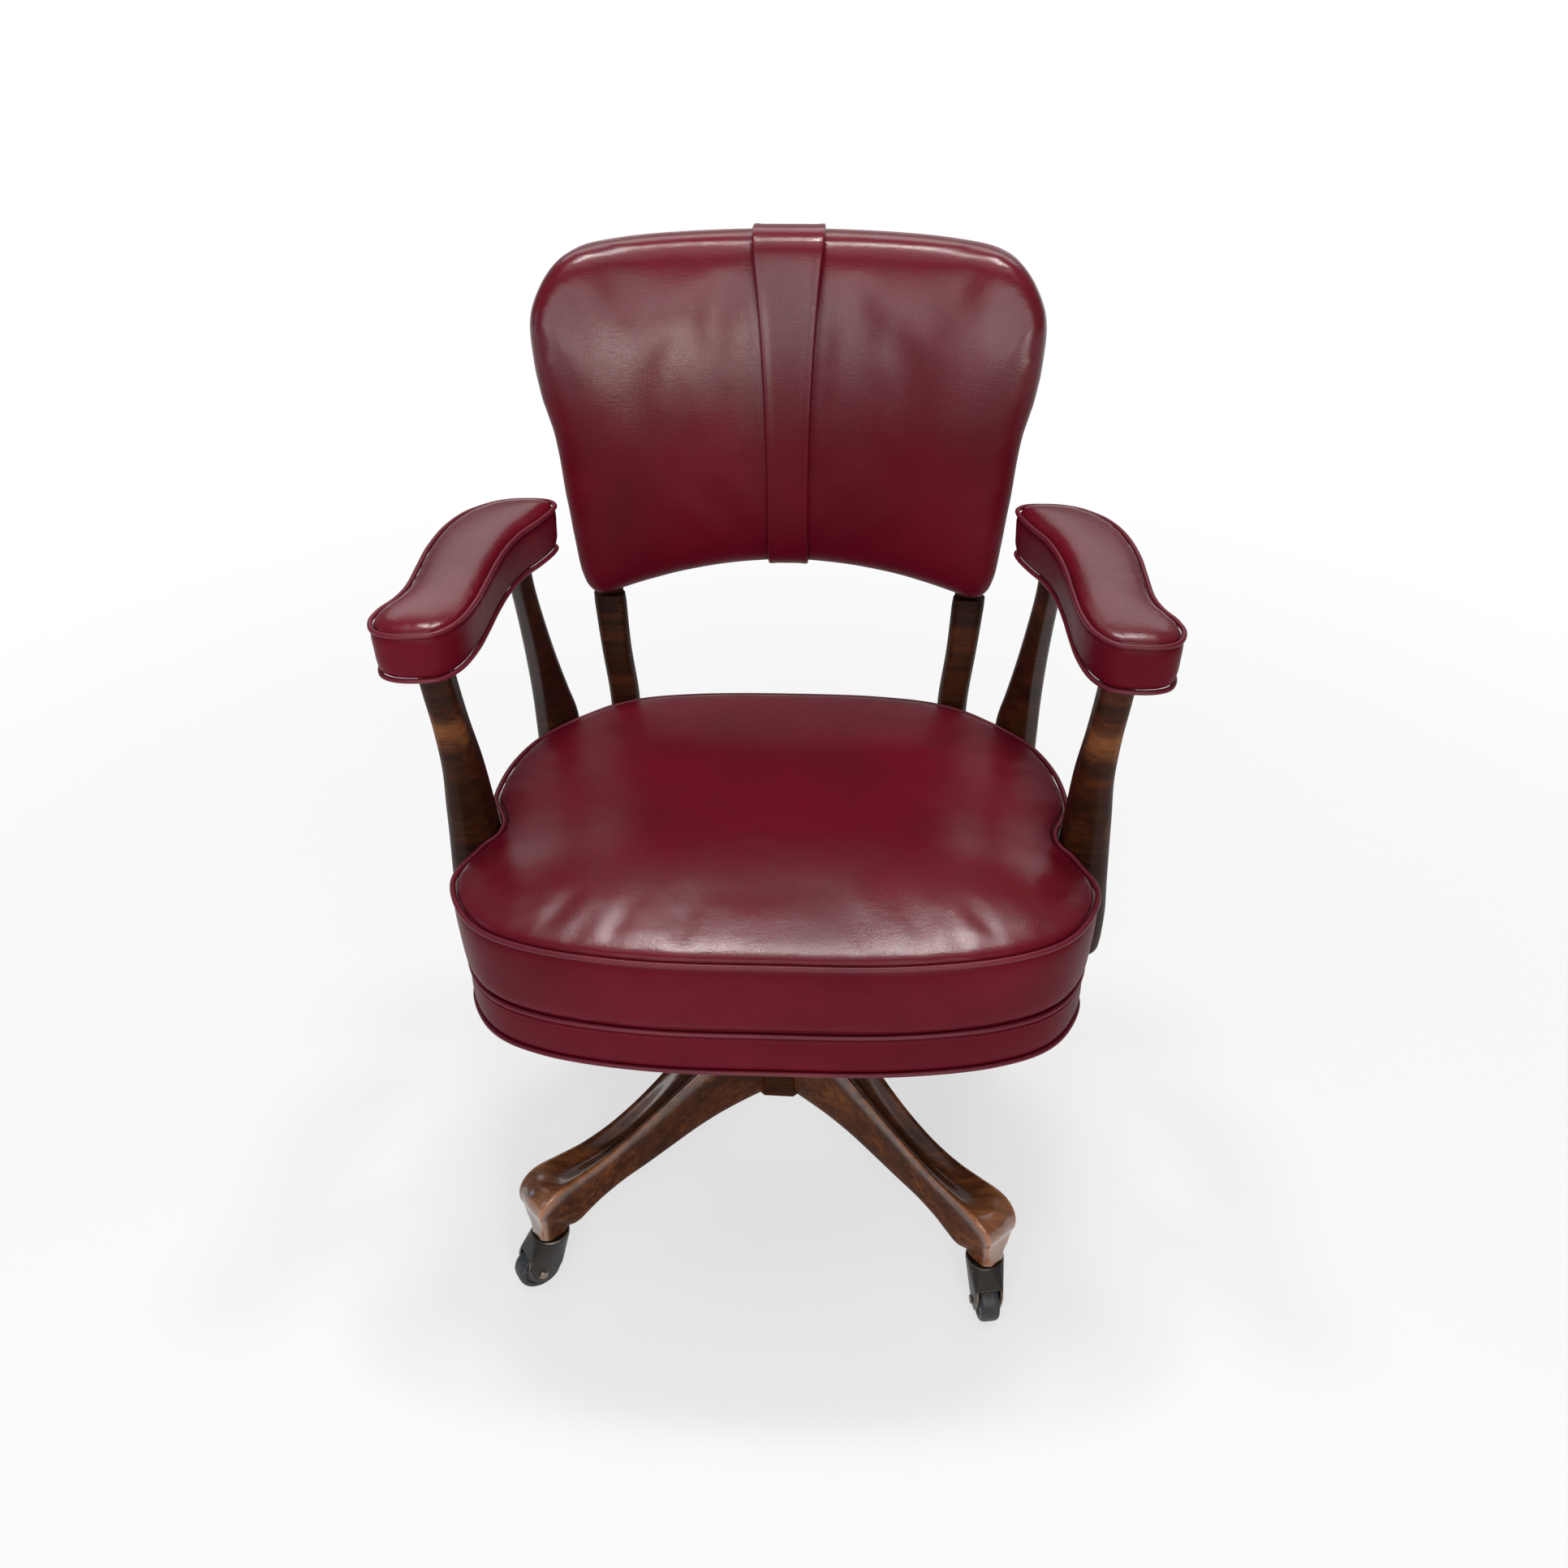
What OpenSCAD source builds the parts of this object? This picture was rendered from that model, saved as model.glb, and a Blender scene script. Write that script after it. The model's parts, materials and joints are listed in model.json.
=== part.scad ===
// Upholstered swivel desk chair: a padded seat, back and arm rests on carved wooden posts,
// over a tilting, swivelling, height-adjusting pedestal with four carved legs on casters.
// The origin is on the floor under the spindle. The chair faces -Y, +X is the right side of
// somebody who looks at its front, and +Z is up. The seat stands at its lowest setting.

/* [Seat] */
// Height of the seat's top welt above the floor
seat_welt_z = 406; // [395:1:430]
// Height of the cushion's crown above its top welt
seat_crown = 26; // [15:1:40]
// Half the width across the two front lobes
lobe_half_w = 267.5; // [255:0.5:285]
// How far the notches, where the front arm posts stand, lie inside the lobes
notch_depth = 27; // [22:0.5:34]
// How far the sides of the rounded rear part lie inside the lobes
rear_inset = 11.5; // [6:0.5:16]
// Distance from the spindle to the seat's front edge
seat_front = 220; // [205:1:240]
// Distance from the spindle to the seat's back edge
seat_back = 184; // [176:1:196]
// Height of the seat cushion's boxing, from the middle welt to the top welt
upper_band_h = 75.5; // [70:0.5:90]
// Height of the wooden seat frame with its vinyl band
lower_band_h = 41.5; // [36:0.5:48]
// How far the middle welt lies inside the top welt
middle_inset = 7.6; // [6:0.2:12]
// How far the lower band lies inside the top welt
band_inset = 9; // [8:0.5:13]
// Thickness of the vinyl and wadding of the bands
band_wall = 3; // [2:0.5:4]
// Width of the frame's rails
frame_rail = 44; // [34:1:60]
// Thickness of the plywood deck under the cushion
deck_t = 6; // [4:1:10]
// Radius of the seat's top welt
welt_r = 3; // [2:0.25:4]
// Radius of the other welts
thin_welt_r = 2.6; // [2:0.2:3]

/* [Back rest] */
// Distance behind the spindle of the back's lower front edge
back_y = 200; // [195:1:215]
// Height of the back frame's datum, near its lower corners
back_z = 510; // [500:1:540]
// Recline of the back from upright, in degrees
back_lean = 9; // [6:0.5:14]
// Radius of the back's curve, seen from above
back_curve_r = 480; // [430:5:600]
// Half the width at the back's shoulders
back_half_w = 224; // [215:1:235]
// Half the width near the back's lower corners
back_low_half_w = 190; // [186:1:196]
// Height of the back, from its datum to the top edge
back_h = 323; // [300:1:350]
// Rise of the arch in the back's lower edge
back_arch = 26; // [14:1:34]
// Depth of the padding in front of the back's plywood board
back_pad = 26; // [20:1:32]
// Crown of the back cushion in front of its edges
back_crown = 15; // [8:1:22]
// Thickness of the plywood board
back_board_t = 10; // [8:1:12]
// Thickness of the wooden frame behind the board
back_frame_t = 12.4; // [11:0.2:16]
// Thickness of the outside back panel
outer_panel_t = 4; // [3:0.5:6]
// Half the width of the centre strip at the top
strip_top_half = 32; // [26:1:38]
// Half the width of the centre strip at the bottom
strip_low_half = 18.5; // [15:0.5:22]
// Thickness of the centre strip
strip_t = 3; // [2:0.5:4]

/* [Arm rests] */
// Height of the arm pad's underside
arm_z = 580; // [570:1:595]
// Height of the arm pad's boxing, up to its top welt
arm_boxing = 41; // [34:1:50]
// Height of the arm pad's crown above its top welt
arm_crown = 8; // [4:1:12]
// Slope of the arm rests, rising to the rear, in degrees
arm_slope = 0; // [0:0.1:4]
// Length of the arm rests
arm_length = 252; // [236:1:270]
// Width across the arm rest's whole S shape
arm_width = 114; // [104:1:124]
// Distance from the spindle to the arm rests' front ends
arm_front = 92; // [84:1:100]
// How far the lower welt of the arm rest lies inside the upper one
arm_taper = 2; // [0:0.2:3]
// Radius of the arm rests' welts
arm_welt_r = 2.9; // [2.2:0.1:3.2]
// Thickness of the wooden board in the arm rest
arm_board_t = 12; // [9:0.5:16]
// How far the board lies inside the arm rest's outline
arm_board_inset = 9.5; // [9.5:0.5:12]

/* [Posts] */
// Half the length of the dowels that join posts to arm boards
arm_dowel_half = 14; // [10:1:18]
// Radius of the wooden dowels
dowel_r = 5; // [4:0.25:5.5]
// Radius of the bolts that fix the posts to the seat frame
post_bolt_r = 3.5; // [2.5:0.25:4]
// Height of each of the two post bolts above the frame's underside
post_bolt_z = [10, 26]; // [6:1:30]
// Thickness of the back post's tongue in the back frame
tongue_t = 11.6; // [9:0.2:12]
// Length of the back post's tongue
tongue_len = 110; // [90:5:120]

/* [Pedestal] */
// Turn of the pedestal against the seat, in degrees
base_turn = -2; // [-10:1:10]
// Distance from the spindle to each caster's swivel axis
caster_reach = 279; // [262:1:295]
// Height of the leg's underside at the caster
leg_foot_z = 62; // [58:1:70]
// Height of the hub's underside
hub_z = 88; // [80:1:100]
// Height of the wooden hub
hub_h = 104; // [98:1:112]
// Width of the hub's sides that carry the legs
leg_w = 44; // [38:1:50]
// Width of the hub's faces between the legs
hub_face_w = 28; // [22:1:34]
// Outer radius of the steel sleeve in the hub
sleeve_r = 16; // [15.5:0.25:18]
// Radius of the sleeve's flange
flange_r = 30; // [26:1:32]
// Thickness of the sleeve's flange
flange_t = 4; // [3:0.5:5]

/* [Casters] */
// Diameter of the caster wheels
wheel_d = 41; // [36:1:44]
// Width of the caster wheels
wheel_w = 18; // [14:1:22]
// Distance from the swivel axis to the wheel's axle
caster_trail = 17; // [13:1:20]
// Radius of the wheel axles
axle_r = 3; // [2.5:0.25:4]
// Radius of the swivel stems
stem_r = 3.9; // [3.4:0.1:4.4]
// Length of the swivel stems above the horn
stem_len = 36; // [28:1:42]
// Where each caster trails to, in degrees from +X: front left, front right, rear right, rear left
caster_turn = [214, -81, 28, 118]; // [-180:1:360]

/* [Mechanism] */
// Radius of the height spindle's thread
spindle_r = 13; // [11:0.5:13.5]
// Travel of the height adjustment
height_travel = 75; // [50:1:80]
// Radius of the height handwheel
handwheel_r = 38; // [32:1:40]
// Height of the height handwheel
handwheel_h = 25.6; // [20:0.2:28]
// Radius of the swivel post on top of the spindle
swivel_r = 11; // [9:0.5:12]
// Radius of the tilt shaft
shaft_r = 7; // [6:0.25:8]
// Distance from the tilt shaft to the seat plate's underside
shaft_drop = 12.5; // [12:0.25:14]
// Distance from the spindle to the tension bolt
bolt_reach = 64; // [60:1:68]
// Radius of the tension bolt
bolt_r = 5; // [4:0.25:5.5]
// Radius of the tension knob
knob_r = 19; // [16:0.5:20]
// Height of the tension knob
knob_h = 19; // [15:0.5:22]
// Wire radius of the tilt spring
spring_wire_r = 2; // [1.5:0.1:2.4]
// Mean radius of the tilt spring's coils
spring_coil_r = 12; // [10:0.5:14]
// Number of turns of the tilt spring
spring_turns = 5.5; // [4:0.5:6.5]
// Thickness of the steel seat plate
plate_t = 5; // [4:0.5:7]
// Distance of the seat plate's screws from the middle, along X and along Y
plate_screw = 85; // [80:1:95]

/* [Hidden] */

// Clearances
glue_gap = 0.1;
run_gap = 0.05;
soft_gap = 0.4;
face_gap = 0.3;
swivel_gap = 0.5;

// Colours
walnut = [0.26, 0.12, 0.06];
steel = [0.55, 0.55, 0.56];
dark_steel = [0.16, 0.15, 0.14];
oxblood = [0.36, 0.07, 0.12];
oxblood_dark = [0.28, 0.05, 0.09];
plywood = [0.72, 0.56, 0.36];
black_cloth = [0.08, 0.08, 0.09];

// Half widths of the seat behind its lobes
notch_half_w = lobe_half_w - notch_depth;
rear_half_w = lobe_half_w - rear_inset;

// Heights of the stack under the seat
frame_z = seat_welt_z - upper_band_h - lower_band_h - 1;
cover_t = 1;
plate_z = frame_z - cover_t - plate_t;
pivot_z = plate_z - shaft_drop;
deck_z = frame_z + lower_band_h - deck_t;
cushion_z = frame_z + lower_band_h + 1.3;
hub_top = hub_z + hub_h;
flange_top = hub_top + flange_t;
handwheel_z = flange_top + 0.4;
collar_z = handwheel_z + handwheel_h + 0.4;
collar_h = 5.6;
washer_t = 2.5;
washer_z = collar_z + collar_h;
housing_z = washer_z + washer_t + face_gap;
housing_arm_t = 6;
housing_arm_z = pivot_z - 3.5;
knob_z = handwheel_z + 3.6;
spring_washer_t = 2.5;
spring_z = knob_z + knob_h + spring_washer_t;

// Angles of the legs, in the order front left, front right, rear right, rear left
leg_angle = [for (a = [225, 315, 45, 135]) a + base_turn];
hub_half = leg_w / 2 + hub_face_w / sqrt(2);
leg_dowel_z = [hub_z + 27, hub_z + 66];

// Caster sizes
axle_z = wheel_d / 2;
socket_flange_t = 1.3;
socket_wall = 1.6;
horn_top = leg_foot_z - socket_flange_t - swivel_gap;
horn_disc_r = 17.2;
cheek_wall = 2.4;
cheek_half = wheel_w / 2 + 0.6 + cheek_wall;
axle_head = 1.7;

// Small helpers
function unit(v) = v / norm(v);
function mix(a, b, t) = a + (b - a) * t;

// A smooth curve through four keys, between the second and the third
function spline_at(a, b, c, d, t) =
    0.5 * (2 * b + (c - a) * t + (2 * a - 5 * b + 4 * c - d) * t * t
        + (3 * b - a - 3 * c + d) * t * t * t);

// A closed smooth curve through the keys, with some steps between each two
function closed_curve(keys, steps) = let (n = len(keys))
    [for (i = [0 : n - 1], k = [0 : steps - 1])
        spline_at(keys[(i + n - 1) % n], keys[i], keys[(i + 1) % n], keys[(i + 2) % n],
            k / steps)];

// An open smooth curve through the keys of a table, row by row
function open_curve(keys, steps) = let (n = len(keys))
    concat([for (i = [0 : n - 2], k = [0 : steps - 1])
        spline_at(keys[max(i - 1, 0)], keys[i], keys[i + 1], keys[min(i + 2, n - 1)],
            k / steps)], [keys[n - 1]]);

// The right half of an outline, from its front or bottom to its back or top, made whole
function both_halves(keys) =
    concat(keys, [for (i = [len(keys) - 2 : -1 : 1]) [-keys[i][0], keys[i][1]]]);

// An outline moved inwards by a distance
function inset(loop, d) = let (n = len(loop))
    [for (i = [0 : n - 1])
        let (t = unit(loop[(i + 1) % n] - loop[(i + n - 1) % n]))
        loop[i] + d * [-t[1], t[0]]];

// An outline drawn towards a point
function shrink(loop, centre, s) = [for (p = loop) centre + s * (p - centre)];

// A flat outline lifted to a height
function at_z(loop, z) = [for (p = loop) [p[0], p[1], z]];

// Faces round a stack of rings, and the caps at its ends
function ring_faces(n, rings, closed) =
    [for (j = [0 : rings - (closed ? 1 : 2)], i = [0 : n - 1])
        let (j2 = (j + 1) % rings, i2 = (i + 1) % n,
            a = j * n + i, b = j2 * n + i, c = j2 * n + i2, d = j * n + i2)
        each [[a, b, c], [a, c, d]]];
function end_cap(n, first) = let (h = n / 2)
    [for (f = concat([[1, 0, n - 1], [h + 1, h, h - 1]],
        [for (i = [1 : h - 2]) each [[i, n - i, n - i - 1], [i, n - i - 1, i + 1]]]))
        [for (v = f) v + first]];
function start_cap(n) = [for (f = end_cap(n, 0)) [f[2], f[1], f[0]]];

// A solid skinned over a stack of rings
module skin(rings) {
    n = len(rings[0]);
    m = len(rings);
    polyhedron(
        points = [for (r = rings) each r],
        faces = concat(ring_faces(n, m, false), start_cap(n), end_cap(n, (m - 1) * n)),
        convexity = 8);
}

// A round tube along a closed path
module tube_loop(path, r, sides = 5, up = [0, 0, 1]) {
    n = len(path);
    rings = [for (i = [0 : n - 1])
        let (t = unit(path[(i + 1) % n] - path[(i + n - 1) % n]),
            u = unit(up - (up * t) * t), v = cross(t, u))
        each [for (k = [0 : sides - 1])
            path[i] + r * (cos(k * 360 / sides) * u + sin(k * 360 / sides) * v)]];
    polyhedron(points = rings, faces = ring_faces(sides, n, true), convexity = 8);
}

// Seat outline, at the outside of the top welt
seat_keys = [
    [0, -seat_front],
    [lobe_half_w - 166, -seat_front + 2],
    [lobe_half_w - 79, -seat_front + 17],
    [lobe_half_w - 26, -seat_front + 46],
    [lobe_half_w, -120],
    [mix(notch_half_w, lobe_half_w, 0.5), -73],
    [notch_half_w + 2, -53],
    [notch_half_w, -37],
    [notch_half_w + 6.5, -19.5],
    [rear_half_w - 1, 2],
    [rear_half_w - 7, 54],
    [rear_half_w - 27, 101],
    [rear_half_w - 62, seat_back - 45],
    [rear_half_w - 105, seat_back - 16],
    [rear_half_w - 170, seat_back - 3],
    [0, seat_back]
];
seat_outline = closed_curve(both_halves(seat_keys), 2);
seat_centre = [0, -10];

// Where the posts meet the seat's outline, right side
front_post = [notch_half_w + 1.4, -42];
rear_post = (seat_keys[11] + seat_keys[12]) / 2 + [1.9, 1.9];
back_post = [rear_half_w - 96, seat_back - 13];

// Section of a post, as shares of its half sizes: outward and along the seat's edge
post_section = [
    [-0.80, -0.66], [-0.38, -0.86], [0.25, -1], [0.72, -0.86], [1, -0.45], [1, 0.35],
    [0.80, 0.78], [0.35, 1], [-0.40, 0.95], [-0.82, 0.75], [-0.94, 0.40], [-0.94, -0.35]
];

// One ring of a post: height, inner face and outer face measured outward from the seat's
// edge, shift along the edge, half the width along the edge
function post_ring(row, foot, angle, lift) =
    [for (s = post_section)
        let (out = mix(row[1], row[2], (s[0] + 1) / 2), along = row[3] + s[1] * row[4],
            p = foot + [cos(angle) * out - sin(angle) * along,
                sin(angle) * out + cos(angle) * along])
        [p[0], p[1], row[0] + (lift ? (p[1] - arm_hinge_y) * tan(arm_slope) : 0)]];

module post(rows, foot, angle, lift_last) {
    fine = open_curve(rows, 2);
    skin([for (i = [0 : len(fine) - 1])
        post_ring(fine[i], foot, angle, lift_last && i == len(fine) - 1)]);
}

arm_hinge_y = -80;
post_top = arm_z - face_gap;
post_low = frame_z + 3;

// Heights of the post rows below the top welt
low_rows_z = [post_low, post_low + 6, frame_z + lower_band_h + 4, seat_welt_z - 36];

front_post_rows = [
    [low_rows_z[0], -2, 36.5, 0, 20],
    [low_rows_z[1], -5.3, 42.5, 0, 24],
    [low_rows_z[2], -5.3, 44, 0, 26],
    [low_rows_z[3], -3, 42, 0, 27],
    [seat_welt_z + 2, 0.5, 40, -1, 25],
    [mix(seat_welt_z, arm_z, 0.2), 1.8, 38, -5, 22],
    [mix(seat_welt_z, arm_z, 0.43), 3.3, 35, -12, 17.5],
    [mix(seat_welt_z, arm_z, 0.66), 8, 36, -17, 15],
    [mix(seat_welt_z, arm_z, 0.86), 11.2, 38.8, -21, 14],
    [post_top, 13, 40.8, -23, 14]
];

rear_post_rows = [
    [low_rows_z[0], -1, 18, 3, 17],
    [low_rows_z[1], -5.3, 22, 4, 21],
    [low_rows_z[2], -5.3, 22.5, 4.5, 22],
    [low_rows_z[3], -3, 22.5, 5, 22],
    [seat_welt_z + 2, 1, 23, 5, 21.5],
    [mix(seat_welt_z, arm_z, 0.2), 1, 22, 0, 17.5],
    [mix(seat_welt_z, arm_z, 0.43), -2, 19, -8, 13.5],
    [mix(seat_welt_z, arm_z, 0.66), -3, 17, -15, 11],
    [mix(seat_welt_z, arm_z, 0.86), -3, 16, -20.5, 10],
    [post_top, -3, 16, -23, 10]
];

// Back frame: a tilted frame on the back's datum, whose surfaces are cylinders
module in_back_frame() {
    translate([0, back_y, back_z])
        rotate([-back_lean, 0, 0])
            children();
}
function back_local(x, h, d) =
    [x, sqrt(pow(back_curve_r + d, 2) - x * x) - back_curve_r, h];
function back_world(x, h, d) = let (p = back_local(x, h, d)) [
    p[0],
    back_y + p[1] * cos(back_lean) + p[2] * sin(back_lean),
    back_z - p[1] * sin(back_lean) + p[2] * cos(back_lean)];

back_keys = [
    [0, back_arch],
    [0.28 * back_low_half_w, back_arch - 3],
    [0.55 * back_low_half_w, back_arch - 10],
    [back_low_half_w - 36, back_arch - 21],
    [back_low_half_w - 13, -1],
    [back_low_half_w - 1, 9],
    [back_low_half_w + 4.5, 30],
    [back_low_half_w + 9, 66],
    [mix(back_low_half_w, back_half_w, 0.42), back_h - 215],
    [back_half_w - 15, back_h - 171],
    [back_half_w - 5, back_h - 131],
    [back_half_w, back_h - 86],
    [back_half_w - 1, back_h - 61],
    [back_half_w - 17, back_h - 29],
    [back_half_w - 38, back_h - 13],
    [back_half_w - 73, back_h - 6],
    [back_half_w - 130, back_h - 2],
    [0, back_h]
];
back_outline = closed_curve(both_halves(back_keys), 2);
back_centre = [0, 165];
board_d = back_pad;
back_frame_d = board_d + back_board_t + 0.2;
outer_panel_d = back_frame_d + back_frame_t + 0.2;
back_inset = 4.5;

// Place of the back post's tongue in the back frame
tongue_x = 170;
tongue_w = 20;
tongue_angle = asin(tongue_x / (back_curve_r + back_frame_d + back_frame_t / 2));
tongue_low = -6;
tongue_foot = back_world(tongue_x, tongue_low, back_frame_d + back_frame_t / 2);

back_post_rows = [
    [low_rows_z[0], -2, 20, 0, 11],
    [low_rows_z[1], -5.3, 24, 0, 13.5],
    [low_rows_z[2], -5.3, 25, 0, 14.3],
    [low_rows_z[3], -3, 25, 0, 14.3],
    [seat_welt_z + 2, 1, 25, -1.2, 14.3],
    [mix(seat_welt_z, tongue_foot[2], 0.5), 10, 33, -7, 14.4],
    [tongue_foot[2], tongue_foot[1] - back_post[1] - 13,
        tongue_foot[1] - back_post[1] + 5.4, back_post[0] - tongue_foot[0] - 2.3, 15.6]
];

// The cushion's vertical section: share of the outline and depth, from rear to front
back_front_rings = [
    [0.985, outer_panel_d - 0.6], [1, 38], [1, 22], [0.99, 12], [0.967, 4],
    [0.935, -0.1 * back_crown], [0.885, -0.37 * back_crown], [0.81, -0.6 * back_crown],
    [0.7, -0.78 * back_crown], [0.57, -0.885 * back_crown], [0.42, -0.95 * back_crown],
    [0.26, -0.985 * back_crown], [0.1, -back_crown]
];
back_rear_rings = [for (s = [0.1, 0.3, 0.5, 0.7, 0.86]) [s, outer_panel_d - 0.6]];

// Arm outline, right side, at the outside of the top welt, from the rear tip
// counter-clockwise, as shares of the arm rest's width and length
arm_keys = [
    [0.2281, 1], [0.07895, 0.9921], [0, 0.9563], [0.008772, 0.8968], [0.07895, 0.8095],
    [0.1754, 0.7143], [0.2368, 0.5952], [0.2632, 0.4762], [0.2763, 0.3492],
    [0.2982, 0.2143], [0.3596, 0.09524], [0.4825, 0.01984], [0.6491, 0],
    [0.8246, 0.003968], [0.9474, 0.03571], [1, 0.1032], [0.9737, 0.1746], [0.9035, 0.246],
    [0.864, 0.3333], [0.8596, 0.4762], [0.8553, 0.6111], [0.807, 0.7619], [0.7018, 0.881],
    [0.5351, 0.9603], [0.386, 0.9921]
];
arm_corner = [front_post[0] - 39.9, -arm_front];
function on_arm_plan(s) = arm_corner + [s[0] * arm_width, s[1] * arm_length];
arm_outline = closed_curve([for (s = arm_keys) on_arm_plan(s)], 2);
arm_count = len(arm_outline);
arm_middle = on_arm_plan([0.544, 0.484]);

// Each outline point's partner on the middle line, drawn in at the two ends
arm_spine = [for (i = [0 : arm_count - 1])
    let (m = (arm_outline[i] + arm_outline[(arm_count - i) % arm_count]) / 2)
    mix(arm_middle, m, 0.72)];
function arm_ring(share, edge, z) = let (loop = inset(arm_outline, edge))
    [for (i = [0 : arm_count - 1])
        let (p = mix(loop[i], arm_spine[i], share)) [p[0], p[1], z]];

// Tilts the arm rests about a line near their front
module in_arm_frame() {
    translate([0, arm_hinge_y, 0])
        translate([0, 0, arm_z])
            rotate([arm_slope, 0, 0])
                translate([0, -arm_hinge_y, -arm_z])
                    children();
}

// Places a right-hand piece, and its mirror image for the left side
module on_left() {
    mirror([1, 0, 0])
        children();
}

// Leg rows: the top edge's reach and height, the lower edge's reach and height, half the
// width, and the depth of the hollow between the two upper ridges
leg_rows = [
    [hub_half, hub_z + 101, hub_half, hub_z + 1, leg_w / 2, 3],
    [70, hub_z + 92, 60, hub_z + 3, leg_w / 2 - 1, 5],
    [100, hub_z + 80, 88, hub_z + 4, leg_w / 2 - 3, 7],
    [132, hub_z + 65, 116, hub_z + 1.5, leg_w / 2 - 5.5, 8.5],
    [164, hub_z + 52, 146, hub_z - 3, leg_w / 2 - 7, 9.5],
    [196, hub_z + 42, 176, hub_z - 6, leg_w / 2 - 7, 9.5],
    [226, hub_z + 37, caster_reach - 74, hub_z - 6.5, leg_w / 2 - 5.5, 8],
    [caster_reach - 27, hub_z + 36.5, caster_reach - 50, hub_z - 8.5, leg_w / 2 - 3, 5],
    [caster_reach - 7, hub_z + 36.5, caster_reach - 34, leg_foot_z + 14, leg_w / 2 - 1, 0.5],
    [caster_reach + 6.5, hub_z + 33, caster_reach - 24, leg_foot_z + 9.5, leg_w / 2 - 1, -3],
    [caster_reach + 15.5, hub_z + 25, caster_reach - 18.5, leg_foot_z + 7, leg_w / 2 - 2.5, -3],
    [caster_reach + 18, hub_z + 14.5, caster_reach - 16.5, leg_foot_z + 5.5, leg_w / 2 - 4.5, -1.5],
    [caster_reach + 15.8, hub_z + 5, caster_reach - 15.5, leg_foot_z + 4, 15.5, 0],
    [caster_reach + 14.8, leg_foot_z + 17, caster_reach - 15, leg_foot_z + 2.5, 13.6, 0],
    [caster_reach + 14.8, leg_foot_z, caster_reach - 14.8, leg_foot_z, 13.4, 0]
];
// Half of the leg's section: share of the half width, share of the depth from the lower edge
leg_section = [
    [0, 0], [0.66, 0], [0.9, 0.06], [0.94, 0.34], [0.95, 0.64], [1, 0.86], [0.97, 0.96],
    [0.86, 1], [0.6, 1], [0.3, 1], [0, 1]
];
leg_section_all = both_halves(leg_section);
function leg_ring(row) =
    let (top = [row[0], 0, row[1]], low = [row[2], 0, row[3]], depth = norm(top - low))
    [for (s = leg_section_all)
        let (hollow = s[1] == 1 ? row[5] * (1 + cos(180 * min(abs(s[0]) / 0.86, 1))) / 2 : 0)
        low + (top - low) * (s[1] - hollow / depth) + [0, s[0] * row[4], 0]];

// A part of the back between two depths, inside an outline
module back_slab(d0, d1, outline) {
    intersection() {
        translate([0, -back_curve_r, -60])
            difference() {
                cylinder(r = back_curve_r + d1, h = back_h + 120, $fn = 200);
                translate([0, 0, -1])
                    cylinder(r = back_curve_r + d0, h = back_h + 122, $fn = 200);
            }
        translate([0, back_pad + 60, 0])
            rotate([90, 0, 0])
                linear_extrude(back_pad + 160)
                    polygon(outline);
    }
}

module tongue(gap, gap_deep) {
    middle = back_local(tongue_x, 0, back_frame_d + back_frame_t / 2);
    translate([middle[0], middle[1], tongue_low - gap])
        rotate([0, 0, -tongue_angle])
            translate([-tongue_w / 2 - gap, -tongue_t / 2 - gap_deep, 0])
                cube([tongue_w + 2 * gap, tongue_t + 2 * gap_deep, tongue_len + 2 * gap]);
}

module both_tongues(gap, gap_deep) {
    tongue(gap, gap_deep);
    on_left()
        tongue(gap, gap_deep);
}

// Bolts through the seat frame into a post
module post_bolt(z, r, head_r, from, to) {
    translate([0, 0, frame_z + z])
        rotate([0, 90, 0]) {
            translate([0, 0, from])
                cylinder(r = r, h = to - from, $fn = 24);
            if (head_r > 0)
                translate([0, 0, from - 5])
                    cylinder(r = head_r, h = 5, $fn = 24);
        }
}

bolt_seat = -band_inset - band_wall - 14;
bolt_end = 14;
module bolts_at(foot, angle, r, head_r, from, to) {
    translate([foot[0], foot[1], 0])
        rotate([0, 0, angle])
            for (z = post_bolt_z)
                post_bolt(z, r, head_r, from, to);
}
module all_bolts(r, head_r, from, to) {
    for (side = [0, 1])
        mirror([side, 0, 0]) {
            bolts_at(front_post, 0, r, head_r, from, to);
            bolts_at(rear_post, 45, r, head_r, from, to);
            bolts_at(back_post, 90, r, head_r, from, to);
        }
}

// Pedestal
module base_hub() {
    color(walnut)
        difference() {
            translate([0, 0, hub_z])
                linear_extrude(hub_h)
                    rotate(base_turn)
                        polygon([for (a = [45 : 90 : 315], s = [-1, 1])
                            hub_half * [cos(a), sin(a)]
                            + s * leg_w / 2 * [-sin(a), cos(a)]]);
            translate([0, 0, hub_z - 1])
                cylinder(r = sleeve_r + glue_gap, h = hub_h + 2, $fn = 64);
            for (a = leg_angle, z = leg_dowel_z)
                rotate([0, 0, a])
                    translate([sleeve_r + 3, 0, z])
                        rotate([0, 90, 0])
                            cylinder(r = dowel_r + glue_gap, h = hub_half, $fn = 32);
            for (a = [0 : 90 : 270])
                rotate([0, 0, a])
                    translate([24, 0, hub_top - 16])
                        cylinder(r = 2, h = 17, $fn = 20);
        }
}

module leg(i) {
    color(walnut)
        rotate([0, 0, leg_angle[i]])
            difference() {
                skin([for (row = leg_rows) leg_ring(row)]);
                for (z = leg_dowel_z)
                    translate([hub_half - 1, 0, z])
                        rotate([0, 90, 0])
                            cylinder(r = dowel_r + glue_gap, h = 33, $fn = 32);
                translate([caster_reach, 0, leg_foot_z - 1])
                    cylinder(r = stem_r + run_gap + socket_wall + glue_gap,
                        h = stem_len + 4, $fn = 32);
            }
}

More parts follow.
